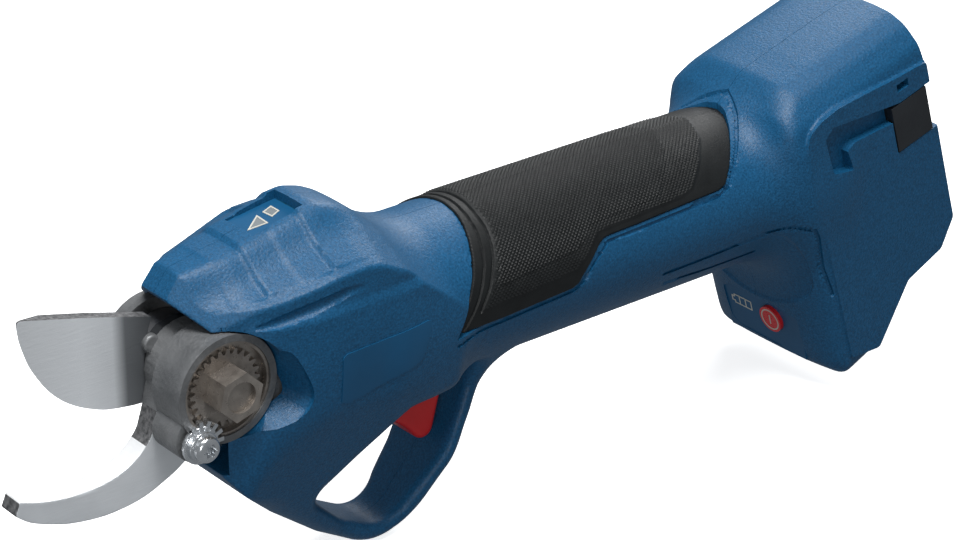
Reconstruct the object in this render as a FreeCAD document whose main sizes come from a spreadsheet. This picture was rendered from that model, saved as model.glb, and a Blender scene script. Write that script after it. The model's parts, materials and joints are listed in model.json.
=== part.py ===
import FreeCAD, Part
import math
import os
from FreeCAD import Placement, Rotation, Vector

# Battery electric pruner, millimetres.
# +X runs along the grip towards the battery, +Y to the tool's right, +Z up.
# The origin is on the grip's axis, half way along the rubber.

doc = FreeCAD.newDocument("battery_pruner")

SIZES = {
    # grip and housing
    "handle_radius": 21.5,
    "grip_radius": 22.6,
    "wall": 2.5,
    "grip_front": -61,
    "grip_rear": 41,
    "grip_step": -20,
    "grip_low_front": -4.7,
    "grip_low_rear": 9,
    "housing_half_width": 26,
    "rake_angle": 16.7,
    "rim_depth": 98.4,
    "split_gap": 0.05,
    # drive line
    "pivot_x": -131.5,
    "drive_height": 3,
    "bolt_radius": 4,
    "bush_radius": 6,
    "running_gap": 0.05,
    "hook_thickness": 6.4,
    "blade_thickness": 3.6,
    "case_radius": 14,
    "case_face": 18,
    "case_floor": 15.4,
    "bevel_reach": 21,
    "bevel_teeth": 10,
    "sector_teeth": 36,
    "bevel_tip": 0.85,
    "bevel_root": 1.2,
    "gear_module": 0.7,
    "sun_teeth": 12,
    "ring_teeth": 36,
    "planet_count": 3,
    "planet_width": 8,
    "stage_front": -88,
    "motor_front": -62,
    "motor_length": 50,
    "motor_radius": 14,
    "shaft_radius": 1.6,
    # controls
    "button_radius": 4.1,
    "trigger_half_width": 6.5,
    "trigger_wall": 1.6,
    # battery
    "pack_half_width": 21.5,
    "pack_front": 56.5,
    "pack_low": -50,
    "pack_high": 12.5,
    "cell_radius": 9.1,
    "cell_length": 46,
}

sheet = doc.addObject("Spreadsheet::Sheet", "Sizes")
for row, (alias, value) in enumerate(SIZES.items(), start=1):
    sheet.set("A%d" % row, alias)
    sheet.set("B%d" % row, str(value))
    sheet.setAlias("B%d" % row, alias)
doc.recompute()


def size(alias):
    """A driving dimension, read back from the sheet."""
    return float(sheet.get(alias))


nodes = []


def node(label, item):
    """Give a finished sub-part its name and keep it for export."""
    item.Label = label
    nodes.append(item)
    return item


def bind(item, expressions):
    for name, expression in expressions.items():
        item.setExpression(name, expression)
    return item


ALONG = {
    "+X": Rotation(Vector(0, 1, 0), 90),
    "+Y": Rotation(Vector(1, 0, 0), -90),
    "-Y": Rotation(Vector(1, 0, 0), 90),
    "+Z": Rotation(),
}


def cylinder(name, radius, length, start, along="+X"):
    """A cylinder whose radius and length are sheet expressions."""
    item = doc.addObject("Part::Cylinder", name)
    bind(item, {"Radius": str(radius), "Height": str(length)})
    item.Placement = Placement(Vector(*start), ALONG[along])
    return item


def box(name, low, high, turn=None):
    """A box between two corners, in the housing frame or in a turned one."""
    item = doc.addObject("Part::Box", name)
    item.Length = high[0] - low[0]
    item.Width = high[1] - low[1]
    item.Height = high[2] - low[2]
    item.Placement = Placement(Vector(*low), Rotation())
    if turn is not None:
        item.Placement = turn.multiply(item.Placement)
    return item


def cut(name, base, *tools):
    for number, tool in enumerate(tools):
        item = doc.addObject("Part::Cut", "%s_cut%d" % (name, number))
        item.Base = base
        item.Tool = tool
        base = item
    return base


def fuse(name, *shapes):
    item = doc.addObject("Part::MultiFuse", name)
    item.Shapes = list(shapes)
    item.Refine = True
    return item


def common(name, *shapes):
    item = doc.addObject("Part::MultiCommon", name)
    item.Shapes = list(shapes)
    return item


def plane_of(body, role):
    for feature in body.Origin.OriginFeatures:
        if feature.Role == role:
            return feature


def outline_edges(points):
    """Line and arc pieces of a closed outline. A point marked "arc" is the middle of an arc."""
    edges = []
    count = len(points)
    index = 0
    while index < count:
        start = points[index]
        after = points[(index + 1) % count]
        if len(after) == 3:
            end = points[(index + 2) % count]
            edges.append(Part.Arc(
                Vector(start[0], start[1], 0), Vector(after[0], after[1], 0), Vector(end[0], end[1], 0)))
            index += 2
        else:
            edges.append(Part.LineSegment(
                Vector(start[0], start[1], 0), Vector(after[0], after[1], 0)))
            index += 1
    return edges


def add_sketch(body, name, role, loops, offset=0.0):
    sketch = body.newObject("Sketcher::SketchObject", name)
    sketch.AttachmentSupport = [(plane_of(body, role), "")]
    sketch.MapMode = "FlatFace"
    sketch.AttachmentOffset = Placement(Vector(0, 0, offset), Rotation())
    for loop in loops:
        sketch.addGeometry(outline_edges(loop), False)
    return sketch


def plate(name, role, loops, length, offset=0.0, midplane=False):
    """A PartDesign body: closed outlines padded to one thickness."""
    body = doc.addObject("PartDesign::Body", name)
    sketch = add_sketch(body, name + "_outline", role, loops, offset)
    pad = body.newObject("PartDesign::Pad", name + "_pad")
    pad.Profile = sketch
    pad.setExpression("Length", str(length))
    if midplane:
        pad.Midplane = True
    body.Tip = pad
    return body


def circle_points(centre, radius):
    """Four arc ends and four arc middles, for a round outline or hole."""
    loop = []
    for quarter in range(4):
        for part, mark in ((0, ()), (45, ("arc",))):
            angle = math.radians(90 * quarter + part)
            loop.append((centre[0] + radius * math.cos(angle),
                         centre[1] + radius * math.sin(angle)) + mark)
    return loop


# ---------------------------------------------------------------- places
PIVOT_X = size("pivot_x")
DRIVE_Z = size("drive_height")
PIVOT = (PIVOT_X, DRIVE_Z)
RAKE = math.radians(size("rake_angle"))
RAKED = Placement(Vector(0, 0, 0), Rotation(Vector(0, 1, 0), -size("rake_angle")))
HALF = size("housing_half_width")
GAP = size("running_gap")


def drive_cylinder(name, radius, front, rear):
    """A round part on the drive axis between two stations along X."""
    return cylinder(name, radius, rear - front, (front, 0, DRIVE_Z))


def pivot_cylinder(name, radius, low, high):
    """A round part on the pivot axis between two stations along Y."""
    return cylinder(name, radius, high - low, (PIVOT_X, low, DRIVE_Z), "+Y")


TRIGGER_PIN = (-85.5, -16.9)
UI_Y = -4
UI_Q = -59.7
LENS_PLACE = (-113.6, 30.2)
LENS_TILT = Rotation(Vector(0, 1, 0), -14)


# ---------------------------------------------------------------- housing
HOOD_LINE = [(-142.5, 22), (-140.5, 24.6), (-134, 27.5), (-113, 33), (-104, 36), (-97, 36.4, "arc"),
             (-89, 33), (-76, 22.5), (-66, 14), (-60, 0)]
GUARD_OUTSIDE = [(-43, -12), (-45.5, -24), (-50.2, -33.7), (-56, -43.5), (-62.9, -52.6), (-68, -58, "arc"),
                 (-75.5, -61.5), (-81.5, -62, "arc"), (-88.5, -59.3), (-98, -52.8), (-113, -40),
                 (-126, -27), (-137, -14)]
FINGER_HOLE = [(-52.5, -18), (-52.5, -26), (-57, -35.5), (-64, -45), (-70.5, -52), (-76, -56.6, "arc"),
               (-83, -56.2), (-92, -51.4), (-100.5, -43), (-102, -40, "arc"), (-100, -36.4),
               (-92, -30), (-83, -23.5), (-78, -20)]
HEAD_SECTION = [(13, 36.5), (21, 33), (26, 22), (26, 5), (24, -10), (19, -25), (13, -40), (9, -55), (8, -70)]
HEAD_PLAN = [(-145, 8), (-139.6, 10), (-134, 15.5), (-124, 20.5), (-112, 23.6), (-100, 25.6), (-90, 25.4),
             (-66, 21), (-58, 11), (-42, 8.5)]
REAR_SIDE = [(98.4, 16.4), (84, 17.4), (68, 17.5), (53, 12.5, "arc"), (45.6, 0), (44.3, -45), (44.8, -62),
             (47.5, -70.5), (53, -73.5), (63.4, -72.7), (78.3, -58.3), (92, -56.2), (98.4, -49)]
REAR_ARCH = [(26, -80), (26, 3), (24.6, 10, "arc"), (14, 17.5)]


def mirrored(half):
    """A closed outline from its right half: x is across the tool."""
    other = [(-point[0],) + tuple(point[1:]) for point in reversed(half)]
    return list(half) + other


def prism(name, role, loops, length, offset=0.0, midplane=False, turn=None):
    body = plate(name, role, loops, length, offset, midplane)
    if turn is not None:
        body.Placement = turn
    return body


def outer_form(side):
    """The whole moulded outside of the tool, before it is split and hollowed."""
    tag = side + "_"
    head = common(
        tag + "head",
        prism(tag + "head_side", "XZ_Plane", [HOOD_LINE + GUARD_OUTSIDE], 2 * HALF, midplane=True),
        prism(tag + "head_section", "YZ_Plane", [mirrored(HEAD_SECTION)], 120, offset=-150),
        prism(tag + "head_plan", "XY_Plane",
              [HEAD_PLAN + [(x, -y) for x, y in reversed(HEAD_PLAN)]], 200, midplane=True))
    handle = cylinder(tag + "handle", "Sizes.handle_radius", 138, (-78, 0, 0))
    rear = common(
        tag + "rear",
        prism(tag + "rear_side", "XZ_Plane", [REAR_SIDE], 2 * HALF, midplane=True, turn=RAKED),
        prism(tag + "rear_arch", "YZ_Plane", [mirrored(REAR_ARCH)], 70, offset=40, turn=RAKED))
    hole = prism(tag + "finger_hole", "XZ_Plane", [FINGER_HOLE], 3 * HALF, midplane=True)
    handle_open = cut(tag + "handle_open", fuse(tag + "head_handle", head, handle), hole)
    under = common(
        tag + "under_bar",
        cylinder(tag + "bar_round", "Sizes.handle_radius", 60, (-90, 0, 0)),
        box(tag + "bar_keep", (-90, -HALF, -22), (-40, HALF, 30)))
    return fuse(tag + "outer", handle_open, under, rear)


def cavities(side):
    """Everything the drive, electronics, trigger and battery need inside the shells."""
    tag = side + "_"
    low_y = -17 if side == "left" else 0
    high_y = 0 if side == "left" else 17.6
    head_bay = box(tag + "head_bay", (-152, low_y - 0.01, -21), (-90, high_y + 0.01, 26))
    trigger_slot = box(tag + "trigger_slot", (-89.5, -8, -24), (-53, 8, 0))
    pin_seat = cylinder(tag + "pin_seat", 1.52, 40, (TRIGGER_PIN[0], -20, TRIGGER_PIN[1]), "+Y")
    drive_bay = drive_cylinder(tag + "drive_bay", 16, -95, -3)
    board_bay = cylinder(tag + "board_bay", "Sizes.handle_radius - Sizes.wall", 54, (-3, 0, 0))
    bay = box(tag + "pack_bay", (55.9, -22.2, -51), (110, 22.2, 2), RAKED)
    bay_top = box(tag + "pack_bay_top", (63.4, -16.5, -51), (110, 16.5, 13.4), RAKED)
    wiring = box(tag + "wiring", (50.6, -19, -62), (62, 19, 2), RAKED)
    button_bore = cylinder(tag + "button_bore", "Sizes.button_radius + 0.3", 14, (0, 0, 0))
    button_bore.Placement = RAKED.multiply(Placement(Vector(42, UI_Y, UI_Q), ALONG["+X"]))
    lens_pocket = box(tag + "lens_pocket", (0, 0, 0), (15.1, 9.1, 20))
    lens_pocket.Placement = Placement(Vector(LENS_PLACE[0], -4.55, LENS_PLACE[1]), LENS_TILT)
    window = box(tag + "window", (86.5, -30, 0.3), (90.8, 30, 2.6), RAKED)
    slot = box(tag + "tab_slot", (82.9, -30, -17.6), (110, 30, -3), RAKED)
    parts = [head_bay, trigger_slot, pin_seat, drive_bay, board_bay, bay, bay_top, wiring, window, slot,
             button_bore, lens_pocket]
    if side == "left":
        parts.append(pivot_cylinder(tag + "case_mouth", "Sizes.case_radius + 1.2", -40, -10))
        parts.append(cylinder(tag + "lock_mouth", 8, 30, (-140.5, -40, -8.5), "+Y"))
    else:
        parts.append(pivot_cylinder(tag + "bolt_mouth", 10, 10, 40))
    return parts


def ui_pocket(side):
    return box(side + "_ui_pocket", (38, -15.4, -70.4), (47.6, 15.4, -53), RAKED)


def screw_places():
    """Six housing screws: two in the head, two in the grip's underside, two in the rear housing."""
    def raked(depth, height):
        return (depth * math.cos(RAKE) - height * math.sin(RAKE),
                depth * math.sin(RAKE) + height * math.cos(RAKE))
    return [(-99, -30), (-84, 23.5), (-30, -15.6), (-8, -15.6), raked(56, 8.6), raked(57, -68)]


def screw_tunnels(side):
    return [cylinder("%s_screw_hole%d" % (side, number), 1.6, 60, (x, -30, z), "+Y")
            for number, (x, z) in enumerate(screw_places())]


def make_shell(side):
    half = box(side + "_half", (-200, -60, -100), (150, -size("split_gap") / 2, 100))
    if side == "right":
        half = box(side + "_half", (-200, size("split_gap") / 2, -100), (150, 60, 100))
    solid = common(side + "_half_form", outer_form(side), half)
    shell = cut(side + "_shell", solid, *cavities(side), ui_pocket(side), *screw_tunnels(side))
    return node("shell_" + side, shell)


def make_grip(side):
    """Half of the rubber saddle that wraps over the top of the handle."""
    front, rear, step = size("grip_front"), size("grip_rear"), size("grip_step")
    low_front, low_rear = size("grip_low_front"), size("grip_low_rear")
    outline = [(front, low_front), (step - 6, low_front), (step + 4, low_rear), (rear, low_rear),
               (rear, 30), (front, 30)]
    tube = cut(side + "_grip_tube",
               cylinder(side + "_grip_out", "Sizes.grip_radius", rear - front, (front, 0, 0)),
               cylinder(side + "_grip_in", "Sizes.handle_radius + 0.02", rear - front + 2, (front - 1, 0, 0)))
    saddle = plate(side + "_grip_saddle", "XZ_Plane", [outline], 3 * HALF, midplane=True)
    edges = (-60, -0.02) if side == "left" else (0.02, 60)
    half = box(side + "_grip_half", (-100, edges[0], -50), (100, edges[1], 50))
    return node("grip_" + side, common(side + "_grip", tube, saddle, half))


def make_screws():
    screws = []
    for number, (x, z) in enumerate(screw_places()):
        shank = cylinder("screw_shank%d" % number, 1.5, 18, (x, -9, z), "+Y")
        head = cylinder("screw_head%d" % number, 1.55, 2, (x, 9, z), "+Y")
        screws.append(fuse("screw%d" % number, shank, head))
    group = doc.addObject("Part::Compound", "screws")
    group.Links = screws
    return node("housing_screws", group)


# ---------------------------------------------------------------- cutting head
def make_gear_case():
    """Cast head: nut cup on the left, cheek on the right, bearing ring behind."""
    face, floor = size("case_face"), size("case_floor")
    cup = cut("cup", pivot_cylinder("cup_out", "Sizes.case_radius", -face, -6.6),
              pivot_cylinder("cup_in", "Sizes.case_radius - 1.8", -face - 1, -floor))
    lock_boss = cylinder("lock_boss", 6.4, face - 1.2 - 6.6, (-139.6, -face + 1.2, -7.6), "+Y")
    left_arm = box("left_arm", (PIVOT_X + 4, -face + 2.5, -9), (-94, -11, 13))
    right_cheek = pivot_cylinder("right_cheek", 13, 12, 16.5)
    right_arm = box("right_arm", (PIVOT_X + 4, 12, -9), (-94, 15.5, 13))
    ring = drive_cylinder("bearing_ring", 15.8, -106, -94)
    body = fuse("case_body", cup, lock_boss, left_arm, right_cheek, right_arm, ring)
    bolt_hole = pivot_cylinder("case_bolt_hole", "Sizes.bolt_radius + 0.02", -30, 30)
    bearing_seat = drive_cylinder("bearing_seat", 10, -110, -90)
    lock_hole = cylinder("lock_hole", 2.02, 30, (-139.6, -30, -7.6), "+Y")
    lock_face = cylinder("lock_face", 4.7, 10, (-139.6, -face + 1.2, -7.6), "-Y")
    clear = pivot_cylinder("cup_clear", "Sizes.case_radius - 1.8", -face - 1, -floor)
    return node("gear_case", cut("gear_case", body, bolt_hole, bearing_seat, lock_hole, lock_face, clear))


HOOK_OUTLINE = [(-143.2, 2), (-144.3, -5), (-147.3, -11.5, "arc"), (-153, -16.2), (-166, -18.9, "arc"),
                (-182.6, -15), (-184.2, -19.4), (-181.5, -21.2), (-164, -26.6, "arc"), (-144, -24),
                (-136, -20), (-128, -11), (-119.6, -1), (-118.9, 3), (-122.8, 12.4, "arc"), (-131.5, 15.6),
                (-140.6, 11.9, "arc")]
BLADE_OUTLINE = [(-143.5, 12.5), (-142.8, 18.4), (-150, 20.7), (-160, 23.6), (-170, 26.2), (-176.2, 27.6),
                 (-176.9, 26.6), (-171, 9.6, "arc"), (-154.4, -2.2), (-147.5, -3.4), (-144, -2.6),
                 (-140.4, -4), (-131.5, -8.6, "arc"), (-122.9, -4), (-119.6, 3, "arc"), (-123, 10.2),
                 (-131.5, 14.9, "arc")]


def make_hook():
    hook = plate("hook", "XZ_Plane", [HOOK_OUTLINE, circle_points(PIVOT, size("bolt_radius") + 0.02)],
                 "Sizes.hook_thickness", offset=0.15)
    return node("hook_blade", hook)


def make_blade():
    blade = plate("blade", "XZ_Plane", [BLADE_OUTLINE, circle_points(PIVOT, size("bush_radius"))],
                  "Sizes.blade_thickness", offset=-size("blade_thickness"))
    pin_hole = cylinder("blade_pin_hole", 1.6, 20, (-141.2, -5, 10), "+Y")
    return node("moving_blade", cut("moving_blade", blade, pin_hole))


def make_bush():
    bush = cut("bush", pivot_cylinder("bush_out", "Sizes.bush_radius", 0, 11),
               pivot_cylinder("bush_in", "Sizes.bolt_radius + Sizes.running_gap", -1, 12))
    return node("blade_bush", bush)


def make_blade_pin():
    shank = cylinder("blade_pin_shank", 1.6, 7.4, (-141.2, 0, 10), "+Y")
    return node("blade_pin", shank)


def make_bolt():
    shank = pivot_cylinder("bolt_shank", "Sizes.bolt_radius", -22.4, 16.5)
    head = doc.addObject("Part::Prism", "bolt_head")
    head.Polygon = 6
    head.Circumradius = 7.2
    head.Height = 5
    head.Placement = Placement(Vector(PIVOT_X, 16.5, DRIVE_Z), ALONG["+Y"])
    return node("pivot_bolt", fuse("pivot_bolt", shank, head))


def gear_outline(teeth, pitch, tip, root, fill, phase=0.0):
    """Corner points of a straight-sided gear; fill is the tooth's share of the pitch."""
    pitch_angle = 2 * math.pi / teeth
    half = fill * pitch_angle / 2
    slope = math.tan(math.radians(22)) / pitch
    points = []
    for tooth in range(teeth):
        middle = phase + tooth * pitch_angle
        low = half + root * slope
        high = half - tip * slope
        for angle, radius in ((-low, pitch - root), (-high, pitch + tip), (high, pitch + tip),
                              (low, pitch - root)):
            points.append((radius * math.cos(middle + angle), radius * math.sin(middle + angle)))
    return points


def closed_wire(points):
    return Part.makePolygon(list(points) + [points[0]])


def gear_solid(outline, front, length, across=0.0, up=0.0):
    """A spur gear whose axis is parallel to X; outline is in Y, Z about its own centre."""
    wire = closed_wire([Vector(front, across + y, up + z) for y, z in outline])
    return Part.Face(wire).extrude(Vector(length, 0, 0))


def bore_tool(radius, front, length, across=0.0, up=0.0):
    return Part.makeCylinder(radius, length, Vector(front, across, up), Vector(1, 0, 0))


def feature(name, shape):
    item = doc.addObject("Part::Feature", name)
    item.Shape = shape
    item.Placement = Placement(Vector(0, 0, 0), Rotation())
    return item


def make_nut():
    """Tall hex nut on a toothed flange, so that the lock screw can hold it."""
    flange = Part.Face(closed_wire([
        Vector(PIVOT_X + x, -size("case_floor"), DRIVE_Z + z)
        for x, z in gear_outline(26, 9.4, 0.6, 0.8, 0.46)])).extrude(Vector(0, -1.3, 0))
    corners = [Vector(PIVOT_X + 6.4 * math.cos(math.radians(60 * k + 15)), -size("case_floor") - 1.3,
                      DRIVE_Z + 6.4 * math.sin(math.radians(60 * k + 15))) for k in range(6)]
    hexagon = Part.Face(closed_wire(corners)).extrude(Vector(0, -6.8, 0))
    thread = Part.makeCylinder(size("bolt_radius") + 0.01, 20, Vector(PIVOT_X, -30, DRIVE_Z), Vector(0, 1, 0))
    return node("pivot_nut", feature("pivot_nut", flange.fuse(hexagon).cut(thread).removeSplitter()))


def make_lock_screw():
    """Six-lobed screw with a toothed collar that meshes with the nut's flange."""
    x, z = -139.6, -7.6
    y = -size("case_face") + 1.2
    collar_teeth = gear_outline(14, 3.7, 0.5, 0.6, 0.5, math.radians(10))
    collar = Part.Face(closed_wire([Vector(x + a, y, z + b) for a, b in collar_teeth]))
    collar = collar.extrude(Vector(0, -1.2, 0))
    dome = Part.makeCylinder(3.2, 2.6, Vector(x, y - 1.2, z), Vector(0, -1, 0))
    shank = Part.makeCylinder(2, 8, Vector(x, y, z), Vector(0, 1, 0))
    socket = Part.makeCylinder(1.5, 1.6, Vector(x, y - 3.8, z), Vector(0, 1, 0))
    return node("lock_screw", feature("lock_screw", collar.fuse([dome, shank]).cut(socket).removeSplitter()))


# ---------------------------------------------------------------- bevel drive
REACH = size("bevel_reach")
RATIO = size("sector_teeth") / size("bevel_teeth")
BEVEL_R = REACH / RATIO
BEVEL_SCALE = 14 / REACH
APEX = Vector(PIVOT_X, 0, DRIVE_Z)


def towards_apex(points, scale):
    return [APEX + (point - APEX) * scale for point in points]


def sector_tooth(angle):
    """One straight bevel tooth that tapers to the point where the two axes cross."""
    lift = size("bevel_tip")
    sink = size("bevel_root") + 0.35
    lean = (BEVEL_R / math.hypot(REACH, BEVEL_R), -REACH / math.hypot(REACH, BEVEL_R))
    pitch = math.radians(360 / size("sector_teeth"))
    ends = []
    for height, half in ((-sink, 0.33), (lift, 0.13)):
        radius = REACH + height * lean[0]
        y = BEVEL_R + height * lean[1]
        for side in (-1, 1):
            turn = angle + side * half * pitch
            ends.append(Vector(PIVOT_X + radius * math.cos(turn), y, DRIVE_Z + radius * math.sin(turn)))
    loop = [ends[0], ends[1], ends[3], ends[2]]
    return Part.makeLoft([closed_wire(loop), closed_wire(towards_apex(loop, BEVEL_SCALE))], True, True)


def make_sector():
    """Bevel sector that swings the blade."""
    first, last = -68, 24
    root_y = BEVEL_R + size("bevel_root")
    bore = size("bush_radius")
    hub = [(bore, 3.65), (10, 3.65), (10, 11), (bore, 11)]
    web = [(9, 5.2), (13.6, root_y * 13.6 / REACH), (22, root_y * 22 / REACH), (22.4, 8.8), (21.6, 11), (9, 11)]

    def turned(section, start, sweep):
        corners = [Vector(PIVOT_X + r, y, DRIVE_Z) for r, y in section]
        solid = Part.Face(closed_wire(corners)).revolve(APEX, Vector(0, 1, 0), sweep)
        solid.rotate(APEX, Vector(0, 1, 0), start)
        return solid
    shape = turned(hub, 0, 360).fuse(turned(web, -last, last - first))
    pitch = math.radians(360 / size("sector_teeth"))
    for tooth in range(-6, 3):
        shape = shape.fuse(sector_tooth(tooth * pitch))
    shape = shape.cut(Part.makeCylinder(1.6, 5, Vector(-141.2, 3, 10), Vector(0, 1, 0)))
    return node("drive_sector", feature("drive_sector", shape.removeSplitter()))


def make_pinion():
    """Bevel pinion on the output shaft, with the planet carrier's spline behind it."""
    front, large = PIVOT_X + REACH * BEVEL_SCALE, PIVOT_X + REACH
    teeth = int(size("bevel_teeth"))
    outline = gear_outline(teeth, BEVEL_R, size("bevel_tip"), size("bevel_root"), 0.4, math.pi / teeth)
    large_end = [Vector(large, y, DRIVE_Z + z) for y, z in outline]
    pinion = Part.makeLoft(
        [closed_wire(large_end), closed_wire(towards_apex(large_end, BEVEL_SCALE))], True, True)
    hub = bore_tool(4.4, large, 4, 0, DRIVE_Z)
    shaft = bore_tool(4, large + 4, -84 - (large + 4), 0, DRIVE_Z)
    return node("bevel_pinion", feature("bevel_pinion", pinion.fuse([hub, shaft]).removeSplitter()))


def make_bearing():
    bearing = cut("bearing", drive_cylinder("bearing_out", 10, -105.5, -96),
                  drive_cylinder("bearing_in", "4 + Sizes.running_gap", -110, -90))
    return node("output_bearing", bearing)


# ---------------------------------------------------------------- planetary stage and motor
MODULE = size("gear_module")
SUN_R = MODULE * size("sun_teeth") / 2
ORBIT = 2 * SUN_R
GEAR_TIP = 0.75 * MODULE
GEAR_ROOT = 0.95 * MODULE
STAGE = size("stage_front")
PLANET_FRONT = STAGE + 8
PLANET_WIDTH = size("planet_width")


def planet_places():
    count = int(size("planet_count"))
    places = []
    for planet in range(count):
        angle = math.radians(90 + 360 / count * planet)
        places.append((ORBIT * math.cos(angle), DRIVE_Z + ORBIT * math.sin(angle)))
    return places


def make_ring():
    teeth = int(size("ring_teeth"))
    ring_r = MODULE * teeth / 2
    outside = bore_tool(15.6, STAGE, size("motor_front") - STAGE - 2, 0, DRIVE_Z)
    hollow = bore_tool(ring_r - GEAR_TIP, STAGE + 2, 40, 0, DRIVE_Z)
    spaces = gear_solid(
        gear_outline(teeth, ring_r, GEAR_ROOT, GEAR_TIP + 0.2, 0.6, math.pi / teeth),
        PLANET_FRONT - 1, 40, 0, DRIVE_Z)
    mouth = bore_tool(4.3, STAGE - 1, 10, 0, DRIVE_Z)
    return node("ring_gear_case", feature("ring_gear_case", outside.cut(hollow).cut(spaces).cut(mouth)))


def make_carrier():
    """Round plate with three planet pins, pressed on the output shaft."""
    plate_shape = bore_tool(11.2, -84, 3.2, 0, DRIVE_Z)
    pins = [bore_tool(1.5, -80.8, PLANET_WIDTH + 1.6, y, z) for y, z in planet_places()]
    return node("planet_carrier", feature("planet_carrier", plate_shape.fuse(pins)))


def make_planets():
    teeth = int(size("sun_teeth"))
    outline = gear_outline(teeth, SUN_R, GEAR_TIP, GEAR_ROOT, 0.42, math.pi / teeth)
    for number, (y, z) in enumerate(planet_places(), start=1):
        gear = gear_solid(outline, PLANET_FRONT, PLANET_WIDTH, y, z)
        gear = gear.cut(bore_tool(1.5 + GAP, PLANET_FRONT - 1, PLANET_WIDTH + 2, y, z))
        node("planet_gear_%d" % number, feature("planet_gear_%d" % number, gear))


def make_motor():
    front = size("motor_front")
    rear = front + size("motor_length")
    can = cut("can", drive_cylinder("can_out", "Sizes.motor_radius", front, rear),
              drive_cylinder("can_in", "Sizes.motor_radius - 1.6", front + 2, rear + 1),
              drive_cylinder("can_mouth", "Sizes.shaft_radius + Sizes.running_gap", front - 1, front + 3))
    node("motor_can", can)
    flange = cut("flange", drive_cylinder("flange_out", 15.6, front - 2, front),
                 drive_cylinder("flange_in", 6, front - 3, front + 1))
    node("motor_flange", flange)
    stator = cut("stator", drive_cylinder("stator_out", "Sizes.motor_radius - 1.6", front + 7, rear - 7),
                 drive_cylinder("stator_in", 8.8, front + 6, rear - 6))
    node("motor_stator", stator)
    end_cap = cut("end_cap", drive_cylinder("end_cap_out", "Sizes.motor_radius", rear, rear + 5),
                  drive_cylinder("end_cap_in", "Sizes.shaft_radius + Sizes.running_gap", rear - 1, rear + 3))
    node("motor_end_cap", end_cap)
    sun = gear_solid(gear_outline(12, SUN_R, GEAR_TIP, GEAR_ROOT, 0.42), PLANET_FRONT - 0.5,
                     PLANET_WIDTH + 1.5, 0, DRIVE_Z)
    shaft = bore_tool(size("shaft_radius"), PLANET_FRONT + 5, rear + 2.5 - PLANET_FRONT - 5, 0, DRIVE_Z)
    node("motor_shaft", feature("motor_shaft", sun.fuse(shaft).removeSplitter()))
    rotor = cut("rotor", drive_cylinder("rotor_out", 8.3, front + 8, rear - 8),
                drive_cylinder("rotor_in", "Sizes.shaft_radius", front, rear))
    node("motor_rotor", rotor)


# ---------------------------------------------------------------- trigger
TRIGGER_OUTLINE = [(-88.6, -16.8), (-85.5, -13.8, "arc"), (-82.2, -16), (-60, -17.4), (-57.9, -21),
                   (-57.9, -25), (-60.8, -36.4), (-63.3, -38.6, "arc"), (-66, -38.2),
                   (-69.5, -34, "arc"), (-74.5, -30.2), (-80, -27), (-87.6, -19.6)]
TRIGGER_HOLLOW = [(-82, -8), (-82.3, -21.5), (-77.5, -25.6), (-73, -28.2), (-67.8, -31.8), (-64, -35.2),
                  (-60.2, -26), (-60.3, -8)]


def make_trigger():
    """Hollow lever: two cheeks joined by the face that the finger pulls."""
    body = plate("trigger_body", "XZ_Plane", [TRIGGER_OUTLINE], "2 * Sizes.trigger_half_width", midplane=True)
    hollow = plate("trigger_hollow", "XZ_Plane", [TRIGGER_HOLLOW],
                   "2 * (Sizes.trigger_half_width - Sizes.trigger_wall)", midplane=True)
    pin_hole = cylinder("trigger_pin_hole", 1.5 + GAP, 40, (TRIGGER_PIN[0], -20, TRIGGER_PIN[1]), "+Y")
    node("trigger", cut("trigger", body, hollow, pin_hole))
    pin = cylinder("trigger_pin", 1.5, 22, (TRIGGER_PIN[0], -11, TRIGGER_PIN[1]), "+Y")
    node("trigger_pin", pin)


def coil(name, label, radius, wire, length, start, turn):
    """A compression spring: one round wire along a helix."""
    turns = 5
    helix = Part.makeHelix(length / turns, length, radius)
    ring = Part.Wire([Part.makeCircle(wire, Vector(radius, 0, 0), Vector(0, 1, 0))])
    shape = Part.Wire(helix.Edges).makePipeShell([ring], True, True)
    item = doc.addObject("Part::Feature", name)
    item.Shape = shape
    item.Placement = Placement(Vector(*start), turn)
    return node(label, item)


def make_trigger_switch():
    node("trigger_switch", box("trigger_switch", (-71, -4, -16.5), (-61, 4, -13.6)))
    coil("trigger_spring", "trigger_spring", 1.6, 0.3, 10, (-76, 0, -25.2), Rotation())


# ---------------------------------------------------------------- panels and boards
def make_panels():
    for name, height in (("indicator_board", 0), ("indicator_panel", 1.6)):
        panel = box(name, (0, 0, 0), (15, 9, 1.6))
        lift = LENS_TILT.multVec(Vector(0.05, 0, height))
        panel.Placement = Placement(Vector(LENS_PLACE[0], -4.5, LENS_PLACE[1]) + lift, LENS_TILT)
        node(name, panel)
    plate_box = box("ui_plate", (46, -15, -70), (47.5, 15, -53.4), RAKED)
    hole = cylinder("ui_hole", "Sizes.button_radius + 0.1", 20, (0, 0, 0))
    hole.Placement = RAKED.multiply(Placement(Vector(40, UI_Y, UI_Q), ALONG["+X"]))
    node("ui_panel", cut("ui_panel", plate_box, hole))
    node("ui_board", box("ui_board", (51.4, -15, -61), (53, 15, -50), RAKED))


def make_button():
    cap = cylinder("button_cap", "Sizes.button_radius", 3.6, (0, 0, 0))
    cap.Placement = RAKED.multiply(Placement(Vector(44.9, UI_Y, UI_Q), ALONG["+X"]))
    node("power_button", cap)
    spring_turn = RAKED.Rotation.multiply(ALONG["+X"])
    start = RAKED.multVec(Vector(48.8, UI_Y, UI_Q))
    coil("button_spring", "button_spring", 2, 0.25, 2.3, (start.x, start.y, start.z), spring_turn)


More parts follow.
